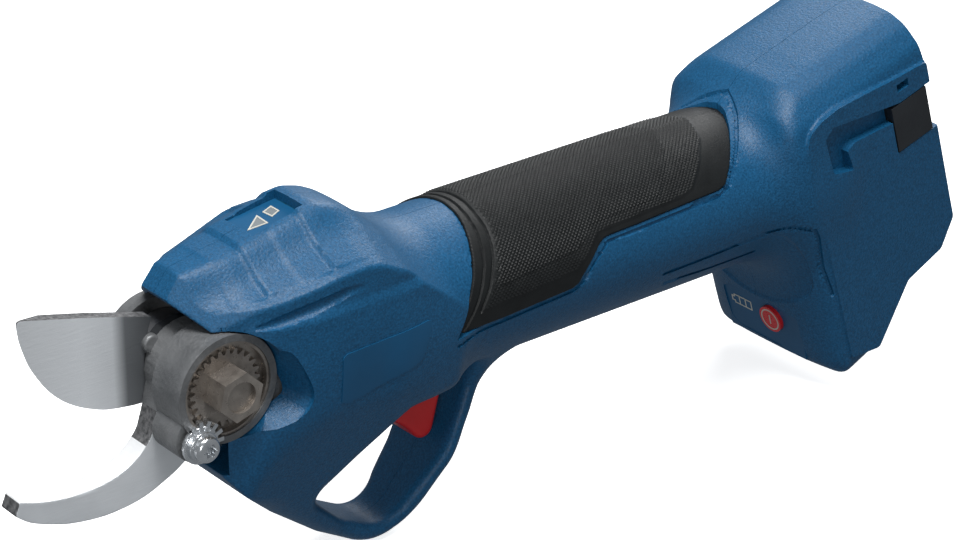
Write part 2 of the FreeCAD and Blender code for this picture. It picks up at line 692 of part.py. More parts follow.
def make_boards():
    node("control_board", box("control_board", (0, -16, -9), (40, 16, -7.4)))
    node("power_stage", box("power_stage", (6, -12, -7.3), (30, 12, 0)))
    node("terminal_block", box("terminal_block", (50.8, -14, -26), (55.8, 14, -8), RAKED))
    blades = []
    for number in range(4):
        y = -10.5 + 7 * number
        blades.append(box("contact%d" % number, (55.8, y - 0.5, -23), (58.8, y + 0.5, -13), RAKED))
    group = doc.addObject("Part::Compound", "contact_group")
    group.Links = blades
    node("terminal_contacts", group)


# ---------------------------------------------------------------- battery
def make_pack():
    half, front = size("pack_half_width"), size("pack_front")
    low, high = size("pack_low"), size("pack_high")
    rear = size("rim_depth") - 3
    lower = box("pack_lower", (front, -half, low), (rear, half, 1), RAKED)
    upper = box("pack_upper", (64, -15.8, 1), (rear, 15.8, high), RAKED)
    hollow = box("pack_hollow", (front + 1.6, -19.4, low + 1.6), (rear + 1, 19.4, -0.5), RAKED)
    hollow_top = box("pack_hollow_top", (65.6, -14.2, -1), (rear + 1, 14.2, high - 1.6), RAKED)
    slots = []
    for number in range(4):
        y = -10.5 + 7 * number
        slots.append(box("slot%d" % number, (front - 1, y - 0.9, -23.6), (front + 3, y + 0.9, -12.4), RAKED))
    pockets = [box("tab_pocket_left", (82.6, -half - 1, -17.6), (rear + 1, -half + 1.95, -3), RAKED),
               box("tab_pocket_right", (82.6, half - 1.95, -17.6), (rear + 1, half + 1, -3), RAKED)]
    case = cut("pack_case", fuse("pack_form", lower, upper), hollow, hollow_top, *slots, *pockets)
    node("pack_case", case)
    cap_low = box("cap_low", (rear, -half, low), (size("rim_depth") - 0.2, half, 1), RAKED)
    cap_high = box("cap_high", (rear, -15.8, 1), (size("rim_depth") - 0.2, 15.8, high), RAKED)
    cap_cut = [box("cap_cut_left", (rear - 1, -half - 1, -17.6), (110, -half + 1.95, -3), RAKED),
               box("cap_cut_right", (rear - 1, half - 1.95, -17.6), (110, half + 1, -3), RAKED)]
    node("pack_cover", cut("pack_cover", fuse("cover_form", cap_low, cap_high), *cap_cut))
    cells = []
    for number, (depth, across) in enumerate(((86, -9.3), (86, 9.3), (70.2, 0))):
        cell = cylinder("cell%d" % number, "Sizes.cell_radius", "Sizes.cell_length", (0, 0, 0), "+Z")
        start = Placement(Vector(depth, across, low + 2.2), Rotation())
        cell.Placement = RAKED.multiply(start)
        cells.append(cell)
    group = doc.addObject("Part::Compound", "cell_group")
    group.Links = cells
    node("pack_cells", group)
    springs = []
    for number in range(4):
        y = -10.5 + 7 * number
        springs.append(box("clip%d" % number, (front + 3.2, y - 1.5, -22), (front + 4, y + 1.5, -14), RAKED))
    clips = doc.addObject("Part::Compound", "clip_group")
    clips.Links = springs
    node("pack_contacts", clips)


def make_tab(side):
    """Release tab: a thumb pad on the pack's flank that is pressed inwards to free the pack."""
    sign = -1 if side == "left" else 1
    outside, inside = sign * 26.2, sign * 22.4
    low, high = min(outside, inside), max(outside, inside)
    tab = box("tab_%s_pad" % side, (83.2, low, -17.3), (96.4, high, -3.3), RAKED)
    node("release_tab_" + side, tab)
    leaf_low, leaf_high = sorted((sign * 22.3, sign * 19.65))
    leaf = box("tab_%s_leaf" % side, (84, leaf_low, -16), (85, leaf_high, -5), RAKED)
    node("tab_spring_" + side, leaf)


# ---------------------------------------------------------------- build
for hand in ("left", "right"):
    make_shell(hand)
for hand in ("left", "right"):
    make_grip(hand)
make_screws()
make_gear_case()
make_hook()
make_blade()
make_bush()
make_blade_pin()
make_bolt()
make_nut()
make_lock_screw()
make_sector()
make_pinion()
make_bearing()
make_ring()
make_carrier()
make_planets()
make_motor()
make_trigger()
make_trigger_switch()
make_panels()
make_button()
make_boards()
make_pack()
for hand in ("left", "right"):
    make_tab(hand)
doc.recompute()

for item in doc.Objects:
    if "Invalid" in item.State or "Error" in item.State:
        raise RuntimeError("%s failed: %s" % (item.Name, item.State))
for item in nodes:
    if item.Shape.isNull() or not item.Shape.isValid():
        raise RuntimeError("%s has no valid shape" % item.Label)

os.makedirs("parts", exist_ok=True)
for item in nodes:
    item.Shape.exportStep("parts/%s.step" % item.Label)
    print("%-20s %9.1f mm3  solids %d" % (item.Label, item.Shape.Volume, len(item.Shape.Solids)))
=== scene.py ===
import json
import math

import bpy
import numpy as np
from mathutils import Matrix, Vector


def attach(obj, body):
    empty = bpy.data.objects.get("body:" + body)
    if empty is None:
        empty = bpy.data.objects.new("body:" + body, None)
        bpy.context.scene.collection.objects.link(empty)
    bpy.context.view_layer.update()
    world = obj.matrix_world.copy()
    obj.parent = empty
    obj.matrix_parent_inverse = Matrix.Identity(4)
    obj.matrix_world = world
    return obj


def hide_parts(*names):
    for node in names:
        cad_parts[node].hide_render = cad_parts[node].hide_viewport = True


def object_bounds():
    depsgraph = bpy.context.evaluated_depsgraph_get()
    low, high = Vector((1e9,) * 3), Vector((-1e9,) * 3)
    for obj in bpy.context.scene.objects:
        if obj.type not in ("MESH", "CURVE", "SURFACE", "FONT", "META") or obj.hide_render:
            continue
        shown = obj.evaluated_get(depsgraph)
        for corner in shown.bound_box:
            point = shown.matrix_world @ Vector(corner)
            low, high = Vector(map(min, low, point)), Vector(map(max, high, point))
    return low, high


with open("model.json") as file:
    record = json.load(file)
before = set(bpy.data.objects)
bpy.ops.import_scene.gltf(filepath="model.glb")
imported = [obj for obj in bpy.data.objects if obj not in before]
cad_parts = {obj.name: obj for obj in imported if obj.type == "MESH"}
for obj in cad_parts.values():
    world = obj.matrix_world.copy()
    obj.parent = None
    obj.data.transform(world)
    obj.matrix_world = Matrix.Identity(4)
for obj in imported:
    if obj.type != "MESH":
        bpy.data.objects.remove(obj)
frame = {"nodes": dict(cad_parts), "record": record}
CAD_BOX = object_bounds()
NODES = frame["nodes"]
MM = 0.001
SCENE = bpy.context.scene

# ---------------------------------------------------------------- camera
CAMERA_PLACE = (-0.509564, -0.57908, 0.358651)
CAMERA_AZIMUTH = math.radians(39)
CAMERA_ELEVATION = math.radians(25.7)
FOCAL_PIXELS = 3230
FRAME_WIDTH = 960
SENSOR_MM = 36

camera_data = bpy.data.cameras.new("camera")
camera_data.sensor_width = SENSOR_MM
camera_data.lens = FOCAL_PIXELS * SENSOR_MM / FRAME_WIDTH
camera_data.clip_start = 0.05
camera_data.clip_end = 20
camera = bpy.data.objects.new("camera", camera_data)
camera.location = CAMERA_PLACE
camera.rotation_euler = (math.pi / 2 - CAMERA_ELEVATION, 0, -CAMERA_AZIMUTH)
SCENE.collection.objects.link(camera)
SCENE.camera = camera
SCENE.view_settings.view_transform = "Standard"


# ---------------------------------------------------------------- distance fields (millimetres)
def smooth_max(a, b, k):
    h = np.maximum(k - np.abs(a - b), 0) / k
    return np.maximum(a, b) + h * h * k * 0.25


def smooth_min(a, b, k):
    return -smooth_max(-a, -b, k)


def round_max(a, b, radius):
    """The overlap of two forms, with its outside corner rounded to a true radius."""
    a, b = a + radius, b + radius
    return np.minimum(np.maximum(a, b), 0) + np.hypot(np.maximum(a, 0), np.maximum(b, 0)) - radius


def ramp(value, low, high):
    t = np.clip((value - low) / (high - low), 0, 1)
    return t * t * (3 - 2 * t)


def arc_through(a, b, c, steps=7):
    """Points from a to c, c left out, on the circle through b."""
    ax, ay, bx, by, cx, cy = *a[:2], *b[:2], *c[:2]
    d = 2 * (ax * (by - cy) + bx * (cy - ay) + cx * (ay - by))
    if abs(d) < 1e-9:
        return [a[:2], b[:2]]
    ux = ((ax**2 + ay**2) * (by - cy) + (bx**2 + by**2) * (cy - ay) + (cx**2 + cy**2) * (ay - by)) / d
    uy = ((ax**2 + ay**2) * (cx - bx) + (bx**2 + by**2) * (ax - cx) + (cx**2 + cy**2) * (bx - ax)) / d
    radius = math.hypot(ax - ux, ay - uy)
    start = math.atan2(ay - uy, ax - ux)
    middle = (math.atan2(by - uy, bx - ux) - start) % (2 * math.pi)
    sweep = (math.atan2(cy - uy, cx - ux) - start) % (2 * math.pi)
    if middle > sweep:
        sweep -= 2 * math.pi
    angles = [start + sweep * k / steps for k in range(steps)]
    return [(ux + radius * math.cos(angle), uy + radius * math.sin(angle)) for angle in angles]


def trace(points):
    """A closed outline as plain points; a point marked "arc" is the middle of an arc."""
    out = []
    count = len(points)
    index = 0
    while index < count:
        after = points[(index + 1) % count]
        if len(after) == 3:
            out += arc_through(points[index], after, points[(index + 2) % count])
            index += 2
        else:
            out.append(points[index][:2])
            index += 1
    return out


def spline(points, steps=6, closed=True):
    """Catmull-Rom points through a few measured ones."""
    count = len(points)
    out = []
    for i in range(count if closed else count - 1):
        near = [(i + k) % count if closed else min(max(i + k, 0), count - 1) for k in (-1, 0, 1, 2)]
        p0, p1, p2, p3 = [np.array(points[k], float) for k in near]
        for s in range(steps):
            t = s / steps
            out.append(tuple(0.5 * (2 * p1 + (p2 - p0) * t + (2 * p0 - 5 * p1 + 4 * p2 - p3) * t * t
                                    + (3 * p1 - p0 - 3 * p2 + p3) * t**3)))
    if not closed:
        out.append(tuple(points[-1]))
    return out


def polygon_distance(u, v, points):
    """Signed distance to a closed polygon, negative inside."""
    pts = np.array(points, float)
    nxt = np.roll(pts, -1, axis=0)
    best = np.full(u.shape, 1e9)
    inside = np.zeros(u.shape, bool)
    for (ax, ay), (bx, by) in zip(pts, nxt):
        ex, ey = bx - ax, by - ay
        length = ex * ex + ey * ey
        if length < 1e-12:
            continue
        t = np.clip(((u - ax) * ex + (v - ay) * ey) / length, 0, 1)
        best = np.minimum(best, (u - ax - t * ex) ** 2 + (v - ay - t * ey) ** 2)
        if ay != by:
            crosses = (v < ay) != (v < by)
            inside ^= crosses & (u < ax + (v - ay) / ey * ex)
    return np.where(inside, -1, 1) * np.sqrt(best)


def blurred(table, sigma):
    reach = int(3 * sigma + 1)
    weights = np.exp(-0.5 * (np.arange(-reach, reach + 1) / sigma) ** 2)
    weights /= weights.sum()
    for axis in (0, 1):
        pad = [(reach, reach) if a == axis else (0, 0) for a in (0, 1)]
        padded = np.pad(table, pad, mode="edge")
        length = table.shape[axis]
        table = sum(w * np.take(padded, range(k, k + length), axis) for k, w in enumerate(weights))
    return table


class Table:
    """A function of two coordinates, looked up between grid values."""

    def __init__(self, function, low, high, pitch=0.5, blur=0.0):
        self.low = low
        self.pitch = pitch
        counts = [int(math.ceil((b - a) / pitch)) + 1 for a, b in zip(low, high)]
        u, v = np.meshgrid(*[a + pitch * np.arange(n) for a, n in zip(low, counts)], indexing="ij")
        table = function(u, v)
        if blur:
            table = blurred(table, blur / pitch)
        self.table = table.astype(np.float32)

    def __call__(self, u, v):
        fu = np.clip((u - self.low[0]) / self.pitch, 0, self.table.shape[0] - 1.001)
        fv = np.clip((v - self.low[1]) / self.pitch, 0, self.table.shape[1] - 1.001)
        iu, iv = fu.astype(np.int32), fv.astype(np.int32)
        fu, fv = fu - iu, fv - iv
        t = self.table
        low = t[iu, iv] * (1 - fv) + t[iu, iv + 1] * fv
        high = t[iu + 1, iv] * (1 - fv) + t[iu + 1, iv + 1] * fv
        return low * (1 - fu) + high * fu


def outline_field(points, pitch=0.5, blur=0.0, margin=12):
    pts = np.array(points, float)
    low, high = pts.min(0) - margin, pts.max(0) + margin
    return Table(lambda u, v: polygon_distance(u, v, points), tuple(low), tuple(high), pitch, blur)


def box_field(p, q, r, low, high):
    """Signed distance to a box."""
    d = [np.maximum(low[i] - c, c - high[i]) for i, c in enumerate((p, q, r))]
    return np.maximum(np.maximum(d[0], d[1]), d[2])


def chain_field(x, y, z, points):
    """Distance to a chain of tapered rods; each point is x, y, z, radius."""
    best = np.full(x.shape, 1e9)
    for a, b in zip(points, points[1:]):
        e = [b[k] - a[k] for k in range(3)]
        t = ((x - a[0]) * e[0] + (y - a[1]) * e[1] + (z - a[2]) * e[2]) / sum(c * c for c in e)
        t = np.clip(t, 0, 1)
        d = np.sqrt((x - a[0] - t * e[0])**2 + (y - a[1] - t * e[1])**2 + (z - a[2] - t * e[2])**2)
        best = np.minimum(best, d - a[3] - t * (b[3] - a[3]))
    return best


# ---------------------------------------------------------------- outer form
PIVOT = (-131.5, 3)
RAKE = math.radians(16.7)
COS_RAKE, SIN_RAKE = math.cos(RAKE), math.sin(RAKE)
HANDLE_RADIUS = 22.0
HANDLE_LIFT = 0.7
REAR_FACE = 44.0
FACE_BOW = 6.2
HOLLOW_DEPTH = 0.9
REAR_END = 98.4
SEAM_RADIUS = 0.5
SEAM_DEPTH = 0.6


def from_pivot(x, z):
    return np.hypot(x - PIVOT[0], z - PIVOT[1])


def raked(x, z):
    """Lengths along and across the rear housing, which leans back from the handle."""
    return x * COS_RAKE + z * SIN_RAKE, z * COS_RAKE - x * SIN_RAKE


def unraked(p, q):
    return p * COS_RAKE - q * SIN_RAKE, p * SIN_RAKE + q * COS_RAKE


MOUTH = [(-137.6, -15), (-131, -5), (-127.5, 6), (-127, 10.6), (-139.9, 24.0), (-141.5, 60)]
GUARD_OUTSIDE = [(-43, -12), (-45.5, -24), (-50.2, -33.7), (-56, -43.5), (-62.9, -52.6), (-68, -58, "arc"),
                 (-75.5, -61.5), (-81.5, -62, "arc"), (-88.5, -59.4), (-98.4, -53.4), (-113.8, -41),
                 (-127.1, -28.1)]
HEAD_SIDE = outline_field(trace([(-43, 60)] + GUARD_OUTSIDE + MOUTH), blur=0.6)
FINGER_HOLE = outline_field(trace([
    (-52.5, -18), (-52.5, -26), (-57, -35.5), (-64, -45), (-70.5, -52), (-76, -56.6, "arc"),
    (-83, -56.2), (-92, -51.4), (-100.5, -43), (-102, -40, "arc"), (-100, -36.4), (-92, -30), (-83, -23.5),
    (-78, -20)]), blur=0.8)
HEAD_SECTION = outline_field(
    [(-30, 60), (26, 60), (25.0, 26), (25.6, 17), (26, 10), (25.6, 3), (24, -10), (19, -25), (13.8, -40),
     (10, -55), (9, -75), (-30, -75)], blur=2.0)
HEAD_PLAN = outline_field([(-150, -30), (-150, 3), (-139.8, 7.5), (-134, 14.6), (-129, 17.4), (-124, 19.9),
                           (-117.7, 21.7), (-110, 23.3), (-102, 24.9), (-92, 25.4), (-84, 24.6), (-66, 20.4),
                           (-58, 11.6), (-50, 9.6), (-38, 9), (-38, -30)], blur=1.0)

# Height of the hood: along the middle, in the valley and at the shoulder's edge.
HOOD_MIDDLE = [(-142, 27.6), (-135.8, 28.9), (-128, 30.8), (-119.5, 32.5), (-111, 34.6), (-104, 36.7),
               (-97.5, 37.7), (-92, 36.4), (-88, 34.3), (-82, 29.5), (-75, 22.8), (-66, 14), (-58, 2)]
HOOD_VALLEY = [(-142, 22.2), (-129.6, 24.4), (-117.8, 27.6), (-109.6, 29.6), (-102.5, 31.6), (-94, 32.4),
               (-88, 31.4), (-82, 27.6), (-75, 21), (-66, 12), (-58, 0)]
HOOD_SHOULDER = [(-142, 17), (-134, 19.4), (-129, 21.4), (-124.3, 22.6), (-117.7, 23.4), (-110.2, 24.9),
                 (-102.6, 26.6), (-95, 27), (-90, 26), (-82, 21.5), (-75, 15), (-66, 6), (-58, -6)]
HOOD_EDGE = [(-142, 12), (-134, 14.6), (-124, 19.6), (-117.7, 21.3), (-110, 22.8), (-102, 24.2), (-90, 24.6),
             (-58, 24.6)]
HOOD_STEPS = [(-136.3, 0.0), (-135.3, 0.35), (-128.6, 0.1), (-127.4, 0.3), (-120.2, -0.35), (-119, 0.5),
              (-111.6, 0.05), (-110.4, 0.3), (-103.2, -0.4), (-102, 0.5), (-92, 0.0)]


def profile(x, points):
    return np.interp(x, [p[0] for p in points], [p[1] for p in points])


def hood_height(x, ay):
    """A raised middle on a shelf that falls away to the shoulders."""
    middle, valley, shoulder, edge = (
        profile(x, line) for line in (HOOD_MIDDLE, HOOD_VALLEY, HOOD_SHOULDER, HOOD_EDGE))
    start = np.minimum(13.2, 0.68 * edge)
    shelf = valley + (shoulder - valley) * np.clip((ay - start) / (edge - start), 0, 1.8)
    rise = 1 - ramp(ay, 0.5 * start, 1.08 * start)
    return shelf + (middle - shelf) * rise - 0.5 * np.clip(ay / 9, 0, 1)**2


def lip_height(x, ay):
    """The hood's front facets: one in the middle and one on each side."""
    return np.minimum(1.29 * x + 204.1, 1.179 * x - 1.402 * ay + 196.0)


HOOD = Table(lambda x, y: hood_height(x, np.abs(y)), (-146, -4), (-50, 32), 0.5, 0.9)


def hood_top(x, ay):
    edge = profile(x, HOOD_EDGE)
    steps = profile(x, HOOD_STEPS) * (1 - ramp(ay, edge - 2.6, edge - 1.8))
    return np.minimum(HOOD(x, ay) + steps, lip_height(x, ay))


HOOD_GROOVE = [(-124.4, 20.6, 17.6, 0.8), (-119.5, 22.3, 18.2, 1.6), (-110, 24.4, 19.8, 1.9),
               (-100, 26.0, 21.8, 1.8), (-91, 26.5, 21.6, 1.3), (-84, 26.0, 19.0, 0.4)]

REAR_SIDE = outline_field(trace([
    (120, 16.0), (84, 17.2), (68, 17.4), (56.4, 17.0), (50.2, 11.4), (46.6, 3), (44.0, -20), (44.0, -62),
    (45.9, -70.6), (51.4, -75), (63.6, -73.4), (78.3, -58.3), (92, -55.8), (120, -22)]), blur=1.0)
REAR_ARCH = outline_field([(-30, -82), (25.2, -82), (25.4, 1), (24.1, 8.2), (20.1, 13.1), (14.6, 16.9),
                           (8.8, 18.2), (-8.8, 18.2), (-30, 18.2)], blur=1.2)
PANEL_SIDE = outline_field([
    (52.3, -1), (53, 3.4), (54.9, 6.2), (59.3, 7.6), (65.3, 8.0), (75.8, 6.6), (84.4, 5.2), (98.4, 3.4),
    (98.4, -49), (92, -56.2), (78.3, -58.3), (63.6, -72.4), (53.4, -69.4)], blur=0.5)


GRIP_OUTLINE = [(-53.2, 0), (-53.6, 16), (-54.4, 28), (-55.7, 40), (-57.1, 51), (-58.9, 63), (-61, 73.5),
                (-63.7, 84), (-66.9, 97), (-51.2, 96.3), (-28.6, 93.2), (-26.4, 91), (-25.2, 87),
                (-18.4, 69.5),
                (-16.6, 66.8), (-14.4, 66), (-4.3, 65.3), (23.7, 62.3), (26.4, 60.2), (30, 49.4),
                (33.4, 37.2), (37.1, 22.9), (40, 9), (40.8, 0)]
GRIP_RADIUS = 22.6
GRIP_FLOOR = 21.3
ARC = GRIP_RADIUS * math.pi / 180


def on_grip(points):
    """Outline points given as x and degrees from the top, as lengths along the rubber."""
    return [(x, angle * ARC) for x, angle in points]


def both_sides(points):
    return points + [(x, -angle) for x, angle in reversed(points) if angle > 0]


GRIP_EDGE = outline_field(on_grip(both_sides(GRIP_OUTLINE)), pitch=0.25, margin=6)


GRIP_RIM = [(x, angle * ARC) for x, angle in [
    (-66.4, 101.8), (-51.1, 99.6), (-27.8, 95.8), (-24.8, 92.6), (-21.2, 82), (-15.3, 69.9), (-4.7, 69),
    (23.6, 66.4), (27.3, 62.8), (32.4, 48.2), (36.4, 34.3), (40.9, 17.3), (44.2, 0)]]


def grip_cut(x, y, z):
    """Where the rubber is let into the housing."""
    radius = np.hypot(y, z - HANDLE_LIFT)
    around = np.arctan2(np.abs(y), z - HANDLE_LIFT) * GRIP_RADIUS
    return np.maximum(GRIP_EDGE(x, around) - 0.12, GRIP_FLOOR - radius)


SEAMS = [[(4.4, -7.1), (20.9, -6.7), (37.7, -5.8), (48, -5.4), (54, -7.2), (55.6, -10.2), (58.8, -20.3),
          (62.8, -29.4)],
         [(6.3, -10.8), (22.9, -11.8), (39.1, -11.8)]]
HOLLOW = outline_field([(-20, -52.2), (0, -52.2), (6, -51.7), (12, -50.2), (17, -48.2), (20.5, -45.6),
                        (22, -42), (22, -34), (21.6, -24), (20.8, -8), (-20, -8)], blur=0.8)


def beside(x, z, points):
    """Distance in the side view to a line through the points."""
    return chain_field(x, np.zeros_like(x), z, [(a, 0, c, 0) for a, c in points])


def outer_form(x, y, z):
    """The moulded outside, the same on both sides of the tool."""
    ay = np.abs(y)
    p, q = raked(x, z)
    below = 1.3 * ramp(z, 19.5, 16) * ramp(x, -128, -120)
    head = smooth_max(HEAD_SECTION(ay, z), HEAD_PLAN(x, ay) - below, 2)
    head = round_max(head, HEAD_SIDE(x, z), 0.6 + 5.4 * ramp(z, -12, -26) * ramp(x, -128, -112))
    slope = 1 / np.sqrt(1.25 + (0.55 * ramp(x, -95, -84)) ** 2 + ramp(x, -132, -136))
    head = smooth_max(head, (z - hood_top(x, ay)) * slope, 0.8)
    head = np.maximum(head, -chain_field(x, ay, z, HOOD_GROOVE))
    handle = smooth_max(np.hypot(ay, z - HANDLE_LIFT) - HANDLE_RADIUS, np.maximum(-84 - x, x - 64), 6)
    form = smooth_min(head, handle, 8)
    form = round_max(form, -FINGER_HOLE(x, z), 4.5)
    bow = FACE_BOW * np.clip(ay / 26, 0, 1.2) ** 2.6
    front = (REAR_FACE + bow + HOLLOW_DEPTH * ramp(HOLLOW(ay, q), 0.5, -0.6) - p) * 0.93
    rear = smooth_max(np.maximum(smooth_max(REAR_SIDE(p, q), REAR_ARCH(ay, q), 4), p - REAR_END), front, 3)
    form = smooth_min(form, rear, 12)
    around = np.arctan2(ay, z - HANDLE_LIFT) * GRIP_RADIUS
    rim = chain_field(x, around, np.zeros_like(x), [(a, b, 0, 0) for a, b in GRIP_RIM])
    for seam in [rim] + [beside(x, z, line) for line in SEAMS]:
        form = np.maximum(form, -np.maximum(seam - SEAM_RADIUS, -SEAM_DEPTH - form))
    panel = smooth_max(np.maximum(PANEL_SIDE(p, q), ay - 26), 51.6 - p, 1.0)
    return smooth_min(form, panel, 0.8)


# ---------------------------------------------------------------- what is cut out of the shells
POCKET = outline_field(spline([
    (-154, 17.5), (-134, 16.0), (-129.1, 15.2), (-122.2, 12.8), (-117.4, 10.4), (-115, 7.6), (-112, 1.2),
    (-111, -2.8), (-111.6, -5.2), (-114.4, -7.9), (-124, -11), (-132.5, -13.8), (-154, -17)], 4), blur=0.4)
CHANNEL = outline_field([(56.2, 18.6), (59.1, 21.4), (84.5, 22.0), (84.5, 17.0), (66.9, 15), (64.6, 13),
                         (67, 7.1), (59.5, 7.9)], pitch=0.35, blur=0.3)
BUTTON = (-4, -59.7)
LOCK_MOUTH = (-140.5, -8.5)
DRIVE_HEIGHT = 3
DOME_CORNER = 28.6
SECTOR_ROOM = 25
WALL_OVER_SECTOR = 0.9
MIDDLE_GAP = 0.04
UI_OUTLINE = [(-15, -55.4), (-9, -53.6), (11, -53.4), (15, -56), (14.2, -66.5), (11.5, -68.8),
              (-11, -69.6), (-15, -67.6)]
UI_RECESS = outline_field(UI_OUTLINE, pitch=0.35, blur=0.6)

def cavities(side, x, y, z):
    """Room for the drive, electronics, trigger and battery, as in the CAD model."""
    p, q = raked(x, z)
    ay = np.abs(y)
    drive = np.hypot(y, z - DRIVE_HEIGHT)
    low, high = (-16.2, 1) if side == "left" else (-1, 17.2)
    roof = np.minimum(23.5, hood_top(x, ay) - 2.4 - 1.8 * ramp(x, -130, -136))
    bay = np.maximum(box_field(x, y, z, (-152, low, -21), (-90, high, 40)), z - roof)
    room = np.minimum(bay, box_field(x, y, z, (-89.5, -8, -24), (-53, 8, 0)))
    room = np.minimum(room, np.maximum(drive - 16, np.maximum(-95 - x, x + 3)))
    room = np.minimum(room, np.maximum(np.hypot(y, z) - 19, np.maximum(-3 - x, x - 51)))
    room = np.minimum(room, box_field(p, ay, q, (55.9, -1, -51), (110, 22.2, 2)))
    dome = box_field(p, ay, q, (63.4, -1, -51), (110, 16.5, 13.4))
    dome = np.maximum(dome, (ay + q - DOME_CORNER) * 0.707)
    room = np.minimum(room, dome)
    room = np.minimum(room, box_field(p, ay, q, (50.6, -1, -62), (62, 19, 2)))
    room = np.minimum(room, np.maximum(np.hypot(y - BUTTON[0], q - BUTTON[1]) - 4.4, 40 - p))
    room = np.minimum(room, box_field(p, ay, q, (86.5, 20, 0.3), (90.8, 40, 2.7)))
    room = np.minimum(room, box_field(p, ay, q, (82.9, 22, -17.6), (110, 40, -3)))
    room = np.minimum(room, np.maximum(UI_RECESS(y, q), np.maximum(p - 47.6, 30 - p)))
    room = np.minimum(room, np.maximum(CHANNEL(x, z), 23.4 - ay))
    room = np.minimum(room, grip_cut(x, y, z))
    panel_floor = 33.05 + 0.14 * (x + 114.7) - z
    lamps = box_field(x, y, z, (-114.7, -5.8, 20), (-100, 5.8, 60))
    room = np.minimum(room, np.maximum(lamps, panel_floor))
    room = np.minimum(room, box_field(x, y, z, (-113.8, -4.6, 26), (-99.2, 4.6, 33)))
    pivot = from_pivot(x, z)
    if side == "left":
        funnel = (POCKET(x, z) + 0.55 * np.maximum(23 - ay, 0)) * 0.88
        room = np.minimum(room, np.maximum(funnel, 15.2 - ay))
        room = np.minimum(room, np.maximum(pivot - 14.5, 10 - ay))
        lock = np.hypot(x - LOCK_MOUTH[0], z - LOCK_MOUTH[1])
        room = np.minimum(room, np.maximum(lock - 7.2, 6 - ay))
    else:
        room = np.minimum(room, np.maximum(pivot - 10, 10 - ay))
    return room


def shell_field(side):
    """One half of the housing: its outside, its parting plane and the room inside."""
    sign = 1 if side == "left" else -1

    def field(x, y, z):
        outside = outer_form(x, y, z)
        sector = np.maximum(from_pivot(x, z) - SECTOR_ROOM, np.abs(y - 8) - 5.2)
        sector = np.maximum(sector, outside + WALL_OVER_SECTOR)
        room = np.minimum(cavities(side, x, y, z), sector)
        return np.maximum(np.maximum(outside, sign * y + MIDDLE_GAP), -room)
    return field


# ---------------------------------------------------------------- surfaces from fields
def spread_blocks(near, step):
    """Grid corners that belong to any of the marked blocks."""
    cells = near
    for axis in range(3):
        cells = np.repeat(cells, step, axis)
    corners = np.zeros([n + 1 for n in cells.shape], bool)
    for i in (0, 1):
        for j in (0, 1):
            for k in (0, 1):
                corners[i:i + cells.shape[0], j:j + cells.shape[1], k:k + cells.shape[2]] |= cells
    return corners


def sample(field, low, high, pitch, step=4):
    """Field values on a grid, exact near the surface and only signed elsewhere."""
    blocks = [int(math.ceil((b - a) / pitch / step)) for a, b in zip(low, high)]
    middles = [a + pitch * step * (np.arange(n) + 0.5) for a, n in zip(low, blocks)]
    coarse = field(*np.meshgrid(*middles, indexing="ij"))
    near = np.abs(coarse) < pitch * step * 0.87 * 1.25 + 0.6
    mask = spread_blocks(near, step)
    values = coarse
    for axis in range(3):
        values = np.repeat(values, step, axis)
    values = np.pad(values, [(0, 1)] * 3, mode="edge")
    index = np.nonzero(mask)
    points = [low[k] + pitch * index[k] for k in range(3)]
    values[index] = field(*points)
    return values


